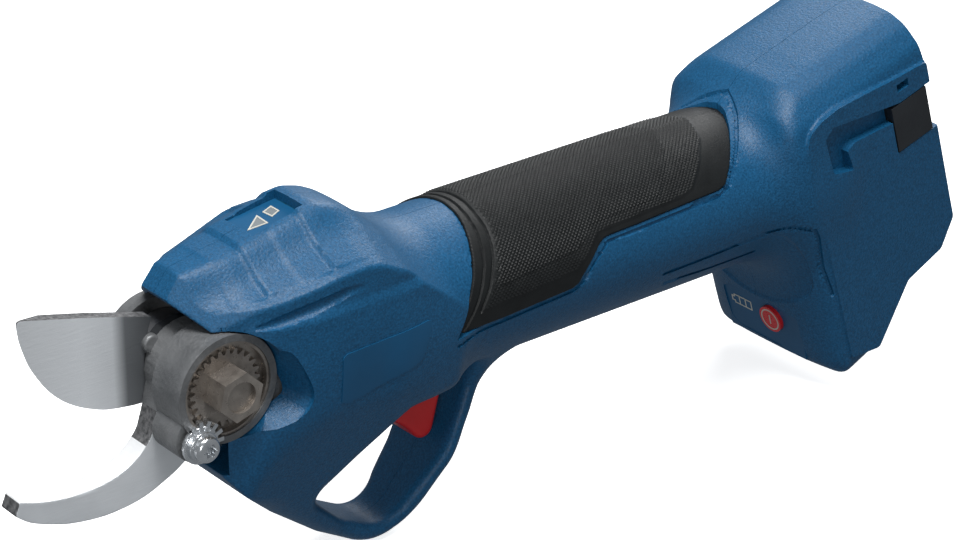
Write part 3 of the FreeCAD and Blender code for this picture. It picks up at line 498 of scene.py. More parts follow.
def contour(field, low, high, pitch):
    """Dual contouring: vertices and quads of the zero surface, with its edges kept sharp."""
    values = sample(field, low, high, pitch)
    inside = values < 0
    shape = [n - 1 for n in values.shape]
    count = np.zeros(shape, np.int8)
    for i in (0, 1):
        for j in (0, 1):
            for k in (0, 1):
                count += inside[i:i + shape[0], j:j + shape[1], k:k + shape[2]]
    active = np.nonzero((count > 0) & (count < 8))
    cell_of = np.full(shape, -1, np.int32)
    total = len(active[0])
    cell_of[active] = np.arange(total)
    sums = np.zeros((total, 13))
    quads = []
    for axis in range(3):
        ahead = [slice(None)] * 3
        behind = [slice(None)] * 3
        ahead[axis] = slice(1, None)
        behind[axis] = slice(0, -1)
        cut = np.nonzero(inside[tuple(behind)] != inside[tuple(ahead)])
        start = np.array(cut).T
        end = start.copy()
        end[:, axis] += 1
        v0, v1 = values[cut], values[tuple(end.T)]
        t = np.clip(v0 / (v0 - v1), 0.0, 1.0)
        point = np.array(low) + pitch * start
        for _ in range(2):
            there = point.copy()
            there[:, axis] += pitch * t
            value = field(*there.T)
            same = (value < 0) == (v0 < 0)
            left = np.where(same, t, 0.0)
            left_value = np.where(same, value, v0)
            right = np.where(same, 1.0, t)
            right_value = np.where(same, v1, value)
            t = left + (right - left) * left_value / (left_value - right_value + 1e-12)
        there = point
        there[:, axis] += pitch * t
        eps = 0.04
        base = field(*there.T)
        normal = np.empty_like(there)
        for k in range(3):
            moved = there.copy()
            moved[:, k] += eps
            normal[:, k] = field(*moved.T) - base
        normal /= np.linalg.norm(normal, axis=1, keepdims=True) + 1e-12
        b, c = (axis + 1) % 3, (axis + 2) % 3
        ring = []
        usable = np.ones(len(start), bool)
        for db, dc in ((-1, -1), (0, -1), (0, 0), (-1, 0)):
            cell = start.copy()
            cell[:, b] += db
            cell[:, c] += dc
            good = np.all((cell >= 0) & (cell < shape), axis=1)
            usable &= good
            ids = np.where(good, cell_of[tuple(np.clip(cell, 0, np.array(shape) - 1).T)], -1)
            ring.append(ids)
            keep = ids >= 0
            n, q, where = normal[keep], there[keep], ids[keep]
            offset = np.einsum("ij,ij->i", n, q)
            terms = [n[:, 0] * n[:, 0], n[:, 0] * n[:, 1], n[:, 0] * n[:, 2], n[:, 1] * n[:, 1],
                     n[:, 1] * n[:, 2],
                     n[:, 2] * n[:, 2], n[:, 0] * offset, n[:, 1] * offset, n[:, 2] * offset,
                     q[:, 0], q[:, 1], q[:, 2], np.ones(len(n))]
            for column, term in enumerate(terms):
                sums[:, column] += np.bincount(where, term, total)
        ring = np.array(ring).T
        flip = v0 > 0
        ring[flip] = ring[flip][:, ::-1]
        quads.append(ring[usable & np.all(ring >= 0, axis=1)])
    weight = np.maximum(sums[:, 12], 1)
    middle = sums[:, 9:12] / weight[:, None]
    matrix = np.empty((total, 3, 3))
    for (i, j), column in zip(((0, 0), (0, 1), (0, 2), (1, 1), (1, 2), (2, 2)), range(6)):
        matrix[:, i, j] = matrix[:, j, i] = sums[:, column]
    right_side = sums[:, 6:9] - np.einsum("nij,nj->ni", matrix, middle)
    matrix += np.eye(3) * 0.08
    place = middle + np.linalg.solve(matrix, right_side[:, :, None])[:, :, 0]
    corner = np.array(low) + pitch * np.array(active).T
    place = np.clip(place, corner - 0.15 * pitch, corner + 1.15 * pitch)
    return place, np.concatenate(quads)


def link(name, mesh):
    item = bpy.data.objects.new(name, mesh)
    SCENE.collection.objects.link(item)
    return item


def make_mesh(name, vertices, faces, smooth_angle=32):
    """A mesh from points in millimetres and faces of equal length."""
    mesh = bpy.data.meshes.new(name)
    vertices = np.asarray(vertices, np.float32) * MM
    if isinstance(faces, np.ndarray):
        corners = faces.shape[1]
        mesh.vertices.add(len(vertices))
        mesh.vertices.foreach_set("co", vertices.ravel())
        mesh.loops.add(faces.size)
        mesh.loops.foreach_set("vertex_index", faces.astype(np.int32).ravel())
        mesh.polygons.add(len(faces))
        mesh.polygons.foreach_set("loop_start", np.arange(0, faces.size, corners, dtype=np.int32))
        mesh.update(calc_edges=True)
        mesh.validate()
    else:
        mesh.from_pydata([tuple(v) for v in vertices.tolist()], [], faces)
        mesh.update()
    mesh.polygons.foreach_set("use_smooth", [True] * len(mesh.polygons))
    mesh.set_sharp_from_angle(angle=math.radians(smooth_angle))
    return link(name, mesh)


def finish_piece(item, body, slot, material, *nodes):
    item.data.materials.clear()
    item.data.materials.append(material)
    if nodes:
        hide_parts(*nodes)
    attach(item, body)
    return item


# ---------------------------------------------------------------- materials
def new_material(name):
    material = bpy.data.materials.new(name)
    material.use_nodes = True
    tree = material.node_tree
    tree.nodes.clear()
    output = tree.nodes.new("ShaderNodeOutputMaterial")
    shader = tree.nodes.new("ShaderNodeBsdfPrincipled")
    tree.links.new(shader.outputs["BSDF"], output.inputs["Surface"])
    return material, tree, shader


def noise(tree, scale, detail=3.0, roughness=0.5, stretch=(1, 1, 1)):
    where = tree.nodes.new("ShaderNodeTexCoord")
    mapping = tree.nodes.new("ShaderNodeMapping")
    mapping.inputs["Scale"].default_value = stretch
    tree.links.new(where.outputs["Object"], mapping.inputs["Vector"])
    texture = tree.nodes.new("ShaderNodeTexNoise")
    texture.inputs["Scale"].default_value = scale
    texture.inputs["Detail"].default_value = detail
    texture.inputs["Roughness"].default_value = roughness
    tree.links.new(mapping.outputs["Vector"], texture.inputs["Vector"])
    return texture.outputs["Fac"]


def colour_ramp(tree, value, stops):
    node = tree.nodes.new("ShaderNodeValToRGB")
    elements = node.color_ramp.elements
    while len(elements) < len(stops):
        elements.new(0.5)
    for element, (place, colour) in zip(elements, stops):
        element.position = place
        element.color = (*colour, 1) if len(colour) == 3 else colour
    tree.links.new(value, node.inputs["Fac"])
    return node.outputs["Color"]


def span(tree, value, low, high, to_low, to_high):
    node = tree.nodes.new("ShaderNodeMapRange")
    for name, number in (("From Min", low), ("From Max", high), ("To Min", to_low), ("To Max", to_high)):
        node.inputs[name].default_value = number
    tree.links.new(value, node.inputs["Value"])
    return node.outputs["Result"]


def bump(tree, shader, height, strength, distance=0.0002):
    node = tree.nodes.new("ShaderNodeBump")
    node.inputs["Strength"].default_value = strength
    node.inputs["Distance"].default_value = distance
    tree.links.new(height, node.inputs["Height"])
    tree.links.new(node.outputs["Normal"], shader.inputs["Normal"])


def surface(name, dark, light, rough=(0.4, 0.5), metallic=0.0, grain=1200, grain_strength=0.3, patch=90,
            stretch=(1, 1, 1), specular=0.5, distance=0.0002):
    """A finish whose colour, roughness and relief vary over the surface."""
    material, tree, shader = new_material(name)
    fine = noise(tree, grain, 4, 0.6, stretch)
    broad = noise(tree, patch, 3, 0.5)
    tree.links.new(colour_ramp(tree, broad, [(0.3, dark), (0.7, light)]), shader.inputs["Base Color"])
    tree.links.new(span(tree, fine, 0.3, 0.7, *rough), shader.inputs["Roughness"])
    shader.inputs["Metallic"].default_value = metallic
    shader.inputs["Specular IOR Level"].default_value = specular
    bump(tree, shader, fine, grain_strength, distance)
    return material


BLUE = surface("blue_moulded", (0.0020, 0.052, 0.125), (0.0085, 0.098, 0.225), (0.36, 0.50), grain=1500,
               grain_strength=0.5, patch=1900, distance=0.0003, specular=0.36)
RUBBER = surface("soft_rubber", (0.004, 0.005, 0.0055), (0.008, 0.0095, 0.010), (0.46, 0.62), grain=2600,
                 grain_strength=0.35, patch=200, specular=0.32)

# ---------------------------------------------------------------- shells
PITCH = 0.62
SHELL_FACES = 190000
for side, low_y, high_y in (("left", -27.6, 0.8), ("right", -0.8, 27.6)):
    vertices, quads = contour(shell_field(side), (-146, low_y, -65), (112, high_y, 47), PITCH)
    shell = make_mesh("housing_" + side, vertices, quads)
    thinner = shell.modifiers.new("thinner", "DECIMATE")
    thinner.ratio = min(1.0, SHELL_FACES / (2 * len(quads)))
    bpy.context.view_layer.objects.active = shell
    bpy.ops.object.modifier_apply(modifier="thinner")
    finish_piece(shell, "housing", "blue_plastic", BLUE, "shell_" + side)

# ---------------------------------------------------------------- more finishes
STEEL = surface("ground_steel", (0.62, 0.645, 0.67), (0.76, 0.785, 0.81), (0.30, 0.46), 0.25, grain=500,
                grain_strength=0.3, patch=60, stretch=(0.3, 1, 3.0))
BRIGHT_STEEL = surface("fresh_ground_steel", (0.82, 0.83, 0.84), (0.92, 0.93, 0.94), (0.35, 0.5), 0.2,
                       grain=900, grain_strength=0.2, patch=80)
ROUGH_STEEL = surface("sawn_steel", (0.05, 0.052, 0.055), (0.22, 0.22, 0.225), (0.5, 0.8), 0.5, grain=1100,
                      grain_strength=0.9, patch=900)
CAST = surface("grey_casting", (0.11, 0.115, 0.12), (0.21, 0.215, 0.22), (0.36, 0.55), 0.45, grain=900,
               grain_strength=0.8, patch=120, distance=0.0003)
NICKEL = surface("burnished_nut", (0.21, 0.185, 0.165), (0.36, 0.325, 0.29), (0.24, 0.42), 0.7, grain=800,
                 grain_strength=0.5, patch=240)
RED = surface("red_plastic", (0.52, 0.010, 0.012), (0.62, 0.014, 0.016), (0.36, 0.48), grain=1600,
              grain_strength=0.2)
WHITE_INK = surface("white_ink", (0.46, 0.45, 0.40), (0.56, 0.55, 0.49), (0.45, 0.6), grain=2000,
                    grain_strength=0.1)
GREY_LENS = surface("grey_lens", (0.16, 0.18, 0.19), (0.22, 0.24, 0.25), (0.25, 0.4), grain=1500,
                    grain_strength=0.1)
LABEL = surface("satin_label", (0.0040, 0.070, 0.165), (0.0055, 0.080, 0.188), (0.36, 0.46), grain=1800,
                grain_strength=0.08, specular=0.36)
FINISHES = {
    "blue_plastic": BLUE, "grip_rubber": RUBBER, "cast_metal": CAST, "blade_steel": STEEL, "nut_steel": NICKEL,
    "zinc_steel": surface("bright_zinc", (0.60, 0.62, 0.64), (0.78, 0.80, 0.82), (0.14, 0.30), 0.95,
                          grain=900, grain_strength=0.35, patch=300),
    "gear_steel": surface("gear_steel", (0.20, 0.20, 0.21), (0.34, 0.34, 0.35), (0.28, 0.42), 0.9),
    "bearing_steel": surface("bearing_steel", (0.48, 0.48, 0.50), (0.62, 0.62, 0.64), (0.12, 0.22), 0.95),
    "screw_steel": surface("black_oxide", (0.02, 0.02, 0.022), (0.045, 0.045, 0.05), (0.35, 0.5), 0.7),
    "trigger_red": RED,
    "button_red": surface("button_red", (0.58, 0.014, 0.018), (0.66, 0.020, 0.024), (0.25, 0.34), grain=1600,
                          grain_strength=0.1),
    "panel_plastic": LABEL,
    "board_green": surface("board_green", (0.006, 0.05, 0.022), (0.012, 0.085, 0.04), (0.3, 0.45)),
    "black_plastic": surface("black_moulded", (0.007, 0.009, 0.012), (0.014, 0.017, 0.021), (0.38, 0.52)),
    "cell_wrap": surface("cell_sleeve", (0.01, 0.14, 0.12), (0.02, 0.20, 0.17), (0.2, 0.3)),
    "contact_metal": surface("plated_contacts", (0.55, 0.40, 0.12), (0.68, 0.52, 0.20), (0.2, 0.32), 1.0),
    "stator_metal": surface("wound_stator", (0.16, 0.06, 0.025), (0.30, 0.12, 0.05), (0.35, 0.5), 0.6,
                            stretch=(1, 4, 4)),
    "spring_steel": surface("drawn_wire", (0.35, 0.35, 0.36), (0.48, 0.48, 0.5), (0.25, 0.35), 0.95),
    "motor_metal": surface("drawn_can", (0.33, 0.33, 0.34), (0.46, 0.46, 0.47), (0.25, 0.38), 0.9),
}

# ---------------------------------------------------------------- small forms
def formed(name, field, low, high, pitch, body, slot, material, *nodes, smooth_angle=32, spread=None):
    """One piece contoured from its field; spread maps its points to where they belong."""
    vertices, quads = contour(field, low, high, pitch)
    if spread:
        vertices = spread(vertices)
    return finish_piece(make_mesh(name, vertices, quads, smooth_angle), body, slot, material, *nodes)


def skin(low_depth, high_depth, edge):
    """A piece that follows the outer form between two depths, inside an edge field."""
    def field(x, y, z):
        form = outer_form(x, y, z)
        return np.maximum(edge(x, y, z), np.maximum(form - high_depth, low_depth - form))
    return field


# ---------------------------------------------------------------- grip
GROOVE_FRONT = on_grip([(-51.2, 0), (-51.4, 8.9), (-51.7, 20.8), (-52.3, 35.1), (-53.5, 48.3), (-54.9, 58.7),
                        (-56.8, 68.4), (-58.6, 76.7), (-61.1, 86.1), (-64.5, 97)])
GROOVE_REAR = on_grip([(-48.8, 0), (-48.8, 6.9), (-49.2, 21.4), (-49.4, 34.2), (-50.3, 46.2), (-51.5, 55.5),
                       (-53.4, 65.3), (-54.9, 72.5), (-58.4, 85.8)])
PAD_OUTER = outline_field(on_grip(both_sides([
    (-48.0, 0), (-48.0, 7), (-48.4, 21.4), (-48.6, 34.2), (-49.5, 46.2), (-50.7, 55.5), (-52.6, 65.3),
    (-54.3, 72.5), (-57.6, 86.2), (-44.5, 85.2), (-27, 81.7), (-23.5, 75.7), (-18.2, 62.6), (-3.6, 60.7),
    (11.3, 58.8), (15.5, 55.9), (21.6, 39.9), (26.7, 23.6), (29.5, 5.6), (30.2, 0)])), pitch=0.25, margin=6)
PAD_INNER = outline_field(on_grip(both_sides([
    (-47.0, 0), (-47.2, 21), (-48.4, 46), (-50.4, 62), (-52.6, 73.8), (-40.4, 71.2), (-26.2, 68.2),
    (-22.8, 63.6),
    (-20, 55.7), (-9.8, 54.3), (1.2, 53.3), (4.8, 51.5), (9.3, 39.2), (13.8, 22.7), (16.4, 4.4), (17, 0)])),
    pitch=0.25, margin=6)
GRIP_PITCH = 0.31
DIAMOND = 4 * GRIP_PITCH
DIAMOND_HEIGHT = 0.26
RUBBER_TOP = 22.52
OUTER_STEP = 0.12
INNER_STEP = 0.14
FRONT_GROOVE = 0.45


def ridge(value):
    """A saw of height 1 and period 1."""
    return 1 - np.abs(2 * (value - np.floor(value)) - 1)


def grip_field(x, around, height):
    """The rubber laid flat: x, length around the handle, height over its middle."""
    outer, inner = PAD_OUTER(x, around), PAD_INNER(x, around)
    flat = np.zeros_like(x)
    front = np.minimum(chain_field(x, around, flat, [(a, b, 0, 0) for a, b in GROOVE_FRONT]),
                       chain_field(x, around, flat, [(a, b, 0, 0) for a, b in GROOVE_REAR]))
    diamonds = DIAMOND_HEIGHT * np.minimum(ridge((x + around) / DIAMOND), ridge((x - around) / DIAMOND))
    top = RUBBER_TOP + OUTER_STEP * ramp(-outer, -0.3, 0.3) + INNER_STEP * ramp(-inner, -0.3, 0.3)
    top = top + diamonds * ramp(-outer, 0.3, 0.6) - FRONT_GROOVE * (1 - ramp(front, 0.15, 0.6))
    edge = GRIP_EDGE(x, around)
    body = round_max(edge, (height - top) * 0.8, 0.45)
    return np.maximum(body, np.maximum(GRIP_FLOOR + 0.04 - height, 0.02 - around))


for side, sign in (("left", -1), ("right", 1)):
    formed("grip_pad_" + side, grip_field, (-67.6, -0.6, 21.0), (41.4, 39.2, 23.4), GRIP_PITCH, "housing",
           "grip_rubber", RUBBER, "grip_" + side, smooth_angle=20,
           spread=lambda v, sign=sign: np.stack([
               v[:, 0], sign * v[:, 2] * np.sin(v[:, 1] / GRIP_RADIUS),
               HANDLE_LIFT + v[:, 2] * np.cos(v[:, 1] / GRIP_RADIUS)], axis=1))

# ---------------------------------------------------------------- blades
HUB = [(-140.4, -4), (-131.5, -8.6, "arc"), (-122.9, -4), (-119.6, 3, "arc"), (-123, 10.2),
       (-131.5, 14.9, "arc")]
BLADE_TOP = spline([(-140.4, 18.1), (-149.3, 20.7), (-156.8, 22.9), (-165, 25.1), (-171.1, 26.7),
                    (-176.1, 27.9), (-177.1, 26.9)], 4, closed=False)
BLADE_EDGE = spline([(-177.1, 26.9), (-176.7, 23.3), (-175.7, 19.5), (-174, 14.9), (-170.3, 8.7),
                     (-166.4, 4.4),
                     (-162.3, 1.4), (-158.2, -0.7), (-154, -2.3), (-147.6, -3.4), (-144.4, -3.7)],
                     4, closed=False)
BLADE = outline_field([(-142.4, 12.5)] + BLADE_TOP + BLADE_EDGE + trace(HUB)[:-1], pitch=0.25, blur=0.12)
HOOK_INNER = spline([(-143.2, 2), (-144.5, -3.7), (-145.5, -6.7), (-146.8, -10), (-150.5, -13.7),
                     (-155.8, -16.4),
                     (-162.8, -17.7), (-170, -17.5), (-177.1, -16.2), (-183.0, -14.2)], 4, closed=False)
HOOK_OUTER = spline([(-184.4, -17.5), (-180.5, -20.6), (-174.4, -23.3), (-168.2, -25.1), (-159.7, -26.1),
                     (-151, -25.4), (-144.3, -23.2), (-136.8, -19.2), (-128, -11), (-119.6, -1),
                     (-118.9, 3)], 4,
                    closed=False)
HOOK_HUB = trace([(-118.9, 3), (-122.8, 12.4, "arc"), (-131.5, 15.6), (-140.6, 11.9, "arc"), (-143.2, 2)])
HOOK = outline_field(HOOK_INNER + HOOK_OUTER + HOOK_HUB[:-1], pitch=0.25, blur=0.15)


BLADE_BACK = 3.55
EDGE_LAND = 0.22
EDGE_SLOPE = 0.42


def blade_field(x, y, z):
    """Flat on the side that passes the hook, ground towards the edge on the other."""
    cut = beside(x, z, BLADE_EDGE[:-3])
    ground = (y - EDGE_LAND - EDGE_SLOPE * cut) * 0.92
    plate = round_max(BLADE(x, z), np.maximum(y - BLADE_BACK, ground), 0.25)
    return np.maximum(np.maximum(plate, -y), 6.02 - from_pivot(x, z))


def hook_field(x, y, z):
    plate = round_max(HOOK(x, z), np.abs(y + 3.35) - 3.18, 0.3)
    return np.maximum(plate, 4.04 - from_pivot(x, z))


def blade_steel_with_painted_shadow():
    """Ground steel that turns dark where the blade meets its hub: partly painted shadow of the gear case, partly
    the neck's own dark oxide.
    """
    material, tree, shader = new_material("blade_face")
    where = tree.nodes.new("ShaderNodeTexCoord")
    parts = tree.nodes.new("ShaderNodeSeparateXYZ")
    tree.links.new(where.outputs["Object"], parts.inputs["Vector"])
    place = span(tree, parts.outputs["X"], -0.178, -0.138, 0, 1)
    # The colour ramp along X paints the gear case's shadow on the blade, over the dark oxide of the neck.
    tree.links.new(colour_ramp(tree, place, [(0.0, (0.66, 0.68, 0.70)), (0.45, (0.80, 0.825, 0.85)),
                                             (0.66, (0.72, 0.745, 0.77)), (0.75, (0.16, 0.17, 0.18)),
                                             (1.0, (0.035, 0.038, 0.042))]), shader.inputs["Base Color"])
    fine = noise(tree, 500, 4, 0.6, (0.3, 1, 3.0))
    tree.links.new(span(tree, fine, 0.3, 0.7, 0.32, 0.48), shader.inputs["Roughness"])
    shader.inputs["Metallic"].default_value = 0.25
    bump(tree, shader, fine, 0.3)
    return material


def second_finish(item, material, chosen):
    """Gives the faces that chosen(centres in mm, normals) picks another finish."""
    mesh = item.data
    centres, normals = np.empty(len(mesh.polygons) * 3), np.empty(len(mesh.polygons) * 3)
    mesh.polygons.foreach_get("center", centres)
    mesh.polygons.foreach_get("normal", normals)
    mesh.materials.append(material)
    slot = np.array([p.material_index for p in mesh.polygons])
    picked = chosen(centres.reshape(-1, 3) / MM, normals.reshape(-1, 3))
    mesh.polygons.foreach_set("material_index", np.where(picked, len(mesh.materials) - 1, slot))


blade = formed("blade", blade_field, (-178, -0.6, -10), (-118, 4.2, 29), 0.36, "blade", "blade_steel",
               blade_steel_with_painted_shadow(), "moving_blade")
second_finish(blade, ROUGH_STEEL, lambda c, n: (np.abs(n[:, 1]) < 0.5) & (c[:, 2] > 16) & (c[:, 0] < -141))
hook = formed("hook", hook_field, (-186, -7.2, -28), (-117, 0.5, 17), 0.42, "housing", "blade_steel", STEEL,
              "hook_blade")
second_finish(hook, BRIGHT_STEEL, lambda c, n: (np.abs(n[:, 1]) < 0.6) & (n[:, 2] + 0.6 * -n[:, 0] > 0)
              & (c[:, 2] < -11.5) & (c[:, 0] < -146))
second_finish(hook, ROUGH_STEEL, lambda c, n: (np.abs(n[:, 1]) < 0.6)
              & ((c[:, 0] < -183.1) | ((c[:, 2] > -11.5) & (c[:, 2] < -3) & (c[:, 0] < -143))))
second_finish(hook, CAST, lambda c, n: c[:, 2] > -3.4)
BOSS = (-141.3, 11.6)


def boss_field(x, y, z):
    return round_max(np.hypot(x - BOSS[0], z - BOSS[1]) - 2.3, np.abs(y + 0.2) - 1.3, 0.7)


formed("blade_boss", boss_field, (-144.2, -2, 8.6), (-138.4, 1.6, 14.6), 0.22, "blade", "cast_metal", CAST)

# ---------------------------------------------------------------- nut cup and lock screw
def liner_field(x, y, z):
    """A thin dish that lines the nut's cup."""
    radius = from_pivot(x, z)
    dish = np.maximum(radius - 12.12, np.abs(y + 16.5) - 1.05)
    dish = np.maximum(dish, -np.maximum(radius - 11.4, y + 15.52))
    return np.maximum(dish, 4.1 - radius)


formed("cup_liner", liner_field, (-144.2, -18, -9.7),
    (-118.8, -15, 15.7), 0.42, "housing", "nut_steel", NICKEL)

LOCK = (-140.3, -8.7)


def lock_field(x, y, z):
    """Flanged screw with a six-lobed socket and teeth towards the nut."""
    dx, dz = x - LOCK[0], z - LOCK[1]
    radius = np.hypot(dx, dz)
    angle = np.arctan2(dz, dx)
    washer = round_max(radius - 4.9, np.abs(y + 18.2) - 0.75, 0.35)
    collar = round_max(radius - 3.9, np.abs(y + 19.3) - 0.9, 0.4)
    head = round_max(radius - 3.35, np.abs(y + 20.4) - 2.2, 1.3)
    turn = angle * 16 / (2 * np.pi)
    pitch = np.abs(turn - np.round(turn)) * radius * 2 * np.pi / 16
    facing = np.abs(angle - 0.93) - 1.25
    tooth = np.maximum(np.maximum(radius - 6.3, pitch - 0.55), np.maximum(np.abs(y + 18.3) - 0.85, facing))
    screw = np.minimum(np.minimum(washer, collar), np.minimum(head, tooth))
    socket = np.maximum(radius - 1.55 - 0.35 * np.cos(6 * angle), y + 21.2)
    shank = np.maximum(radius - 1.9, np.abs(y + 12) - 6)
    return np.minimum(np.maximum(screw, -socket), shank)


formed("lock_screw_head", lock_field, (-147, -23.2, -15.4), (-133.6, -5.6, -2), 0.26, "housing", "zinc_steel",
       FINISHES["zinc_steel"], "lock_screw", smooth_angle=30)

# ---------------------------------------------------------------- trigger
TRIGGER_SIDE = outline_field(trace([
    (-88.3, -16.9), (-85.5, -13.9, "arc"), (-82.2, -16), (-60, -17.4), (-57.9, -21), (-57.9, -25),
    (-60.8, -35.8),
    (-63.3, -38.4, "arc"), (-66, -37.8), (-69.5, -33.8, "arc"), (-74.5, -30.0), (-80, -26.8),
    (-87.6, -19.6)]), pitch=0.3, blur=0.5)
TRIGGER_HOLE = outline_field([
    (-82, -8), (-82.3, -21.5), (-77.5, -25.6), (-73, -28.2), (-67.8, -31.8), (-64, -35.2), (-60.2, -26),
    (-60.3, -8)], pitch=0.3, blur=0.3)


def trigger_field(x, y, z):
    lever = round_max(TRIGGER_SIDE(x, z), np.abs(y) - 6.45, 1.6)
    lever = np.maximum(lever, -np.maximum(TRIGGER_HOLE(x, z), np.abs(y) - 5.0))
    return np.maximum(lever, 1.54 - np.hypot(x + 85.5, z + 16.9))


formed("trigger_lever", trigger_field, (-89.4, -7, -39.6),
       (-57, 7, -12.6), 0.4, "trigger", "trigger_red", RED, "trigger")

# ---------------------------------------------------------------- plates, lamps and marks
LABEL_SIDE = outline_field([(-103.2, -7.5), (-100.9, -8.3), (-82.1, -4.2), (-79.2, -2.9), (-78.2, -0.9),
                            (-75.9, 6.4), (-77, 7.0), (-102.2, 5.9), (-103.2, 5.0)], pitch=0.25, blur=0.2)
formed("side_label", skin(-0.6, 0.24, lambda x, y, z: np.maximum(LABEL_SIDE(x, z), y + 15)),
       (-104.4, -27.6, -9.6), (-74.6, -19, 8.2), 0.42, "housing", "panel_plastic", LABEL, smooth_angle=40)


def stroke_loop(name, points, width, origin, across, up, thickness, body, slot, material, closed=True,
                sink=0.15):
    """A flat printed line on a plane: a mitred ribbon with real thickness."""
    across, up = np.array(across, float), np.array(up, float)
    out = np.cross(across, up)
    pts = np.array(points, float)
    count = len(pts)
    left, right = [], []
    for i in range(count):
        before = pts[i] - pts[i - 1] if closed or i else pts[1] - pts[0]
        after = pts[(i + 1) % count] - pts[i] if closed or i < count - 1 else before
        before, after = before / np.linalg.norm(before), after / np.linalg.norm(after)
        normal = np.array([-(before + after)[1], (before + after)[0]])
        normal /= np.linalg.norm(normal)
        reach = width / 2 / max(0.4, normal @ np.array([-before[1], before[0]]))
        left.append(pts[i] + normal * reach)
        right.append(pts[i] - normal * reach)
    rows = [[np.array(origin, float) + across * a + up * b + out * h for a, b in line]
            for h in (-sink, thickness) for line in (left, right)]
    vertices = [tuple(v) for row in rows for v in row]
    steps = count if closed else count - 1
    faces = []
    for i in range(steps):
        j = (i + 1) % count
        a, b, c, d = i, count + i, 2 * count + i, 3 * count + i
        e, f, g, h = j, count + j, 2 * count + j, 3 * count + j
        faces += [(a, e, f, b), (c, d, h, g), (a, c, g, e), (b, f, h, d)]
    if not closed:
        n = count - 1
        faces += [(0, count, 3 * count, 2 * count), (n, 2 * count + n, 3 * count + n, count + n)]
    return finish_piece(make_mesh(name, vertices, faces), body, slot, material)


def plate_piece(name, points, origin, across, up, thickness, body, slot, material, sink=0.15):
    """A flat plate of any outline, let a little into the plane that it lies on."""
    across, up = np.array(across, float), np.array(up, float)
    out = np.cross(across, up)
    ring = [np.array(origin, float) + across * a + up * b for a, b in points]
    count = len(ring)
    vertices = [tuple(v - out * sink) for v in ring] + [tuple(v + out * thickness) for v in ring]
    faces = [tuple(reversed(range(count))), tuple(range(count, 2 * count))]
    faces += [(i, (i + 1) % count, count + (i + 1) % count, count + i) for i in range(count)]
    return finish_piece(make_mesh(name, vertices, faces), body, slot, material)


LENS_SLOPE = math.atan(0.14)
LENS = {"origin": (-114.55, 0, 33.15), "across": (math.cos(LENS_SLOPE), 0, math.sin(LENS_SLOPE)), "up": (0, 1, 0)}
plate_piece("lamp_panel", [(0, -5.6), (14.6, -5.6), (14.6, 5.6), (0, 5.6)], thickness=0.1, body="housing",
            slot="panel_plastic", material=LABEL, sink=1.3, **LENS)
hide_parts("indicator_panel")
LAMPS = {"warning": [(1.3, -2.1), (6.2, -2.9), (6.5, 1.7)],
         "charge": [(8.7, 2.1), (8.9, -1.2), (11.5, -0.3), (11.5, 2.9)]}
for lamp, ring in LAMPS.items():
    plate_piece("lens_" + lamp, ring, thickness=0.16, body="housing", slot="panel_plastic",
                material=GREY_LENS, **LENS)
    stroke_loop("lens_rim_" + lamp, ring, 0.42, thickness=0.24, body="housing", slot="panel_plastic",
                material=WHITE_INK, **LENS)

UI_PLACE = unraked(46, 0)
UI = {"origin": (UI_PLACE[0], 0, UI_PLACE[1]), "across": (0, -1, 0), "up": (-SIN_RAKE, 0, COS_RAKE)}
INK = {"thickness": 0.07, "body": "housing", "slot": "panel_plastic", "material": WHITE_INK}
stroke_loop("mark_battery", [(-12.3, -60.2), (-11.3, -60.2), (-11.3, -60.9), (-4.6, -60.9), (-4.6, -58.0),
                             (-11.3, -58.0), (-11.3, -58.7), (-12.3, -58.7)], 0.35, **UI, **INK)
for number, place in enumerate((-9.3, -6.9)):
    stroke_loop("mark_cell_%d" % number, [(place, -60.9), (place, -58.0)], 0.35, closed=False, **UI, **INK)
FACE_PLACE = unraked(44.9, 0)
FACE = dict(UI, origin=(FACE_PLACE[0], 0, FACE_PLACE[1]))
ON_BUTTON = dict(INK, body="power_button", slot="button_red")
RING_RADIUS = 3.2
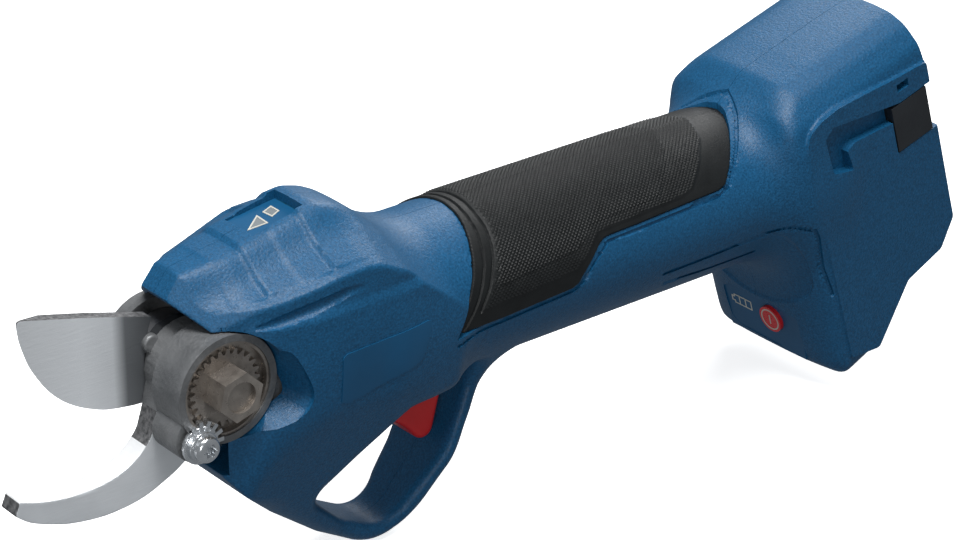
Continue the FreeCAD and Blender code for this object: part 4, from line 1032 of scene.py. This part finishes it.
stroke_loop("mark_ring", [(-BUTTON[0] + RING_RADIUS * math.cos(a), BUTTON[1] + RING_RADIUS * math.sin(a))
                          for a in np.linspace(0, 2 * math.pi, 48, endpoint=False)], 0.4, **FACE, **ON_BUTTON)
stroke_loop("mark_line", [(4, -58.2), (4, -61.2)], 0.4, closed=False, **FACE, **ON_BUTTON)

# ---------------------------------------------------------------- finishes of the kept CAD nodes
for entry in frame["record"]["subparts"]:
    item = NODES[entry["node"]]
    item.data.materials.clear()
    item.data.materials.append(FINISHES[entry["material_slot"]])

# ---------------------------------------------------------------- light and floor
world = bpy.data.worlds.new("studio")
SCENE.world = world
world.use_nodes = True
world.node_tree.nodes["Background"].inputs["Color"].default_value = (0.9, 0.95, 1, 1)
world.node_tree.nodes["Background"].inputs["Strength"].default_value = 0.24


def softbox(name, place, aim, size, power, colour=(1, 1, 1)):
    data = bpy.data.lights.new(name, "AREA")
    data.shape = "RECTANGLE"
    data.size, data.size_y = size
    data.energy = power
    data.color = colour
    lamp = bpy.data.objects.new(name, data)
    lamp.location = place
    lamp.rotation_euler = (Vector(aim) - Vector(place)).to_track_quat("-Z", "Y").to_euler()
    SCENE.collection.objects.link(lamp)
    return lamp


softbox("key", (-0.25, -0.2, 0.95), (-0.03, 0, 0), (0.6, 0.3), 12.5)
softbox("front", (-0.9, -0.9, 0.35), (-0.1, 0, 0), (0.35, 0.35), 3.4)
softbox("rim", (0.7, 0.5, 0.6), (0, 0, 0), (0.5, 0.4), 5)

floor_mesh = bpy.data.meshes.new("floor")
floor_mesh.from_pydata([(-4, -4, 0), (4, -4, 0), (4, 4, 0), (-4, 4, 0)], [], [(0, 1, 2, 3)])
floor = link("floor", floor_mesh)
floor.location = (0, 0, CAD_BOX[0][2] - 0.0004)
floor.visible_diffuse = False
floor.visible_glossy = False
material, tree, shader = new_material("pale_floor")
shader.inputs["Base Color"].default_value = (0.92, 0.92, 0.92, 1)
shader.inputs["Roughness"].default_value = 0.9
shader.inputs["Emission Color"].default_value = (1, 1, 1, 1)
shader.inputs["Emission Strength"].default_value = 0.75
floor_mesh.materials.append(material)
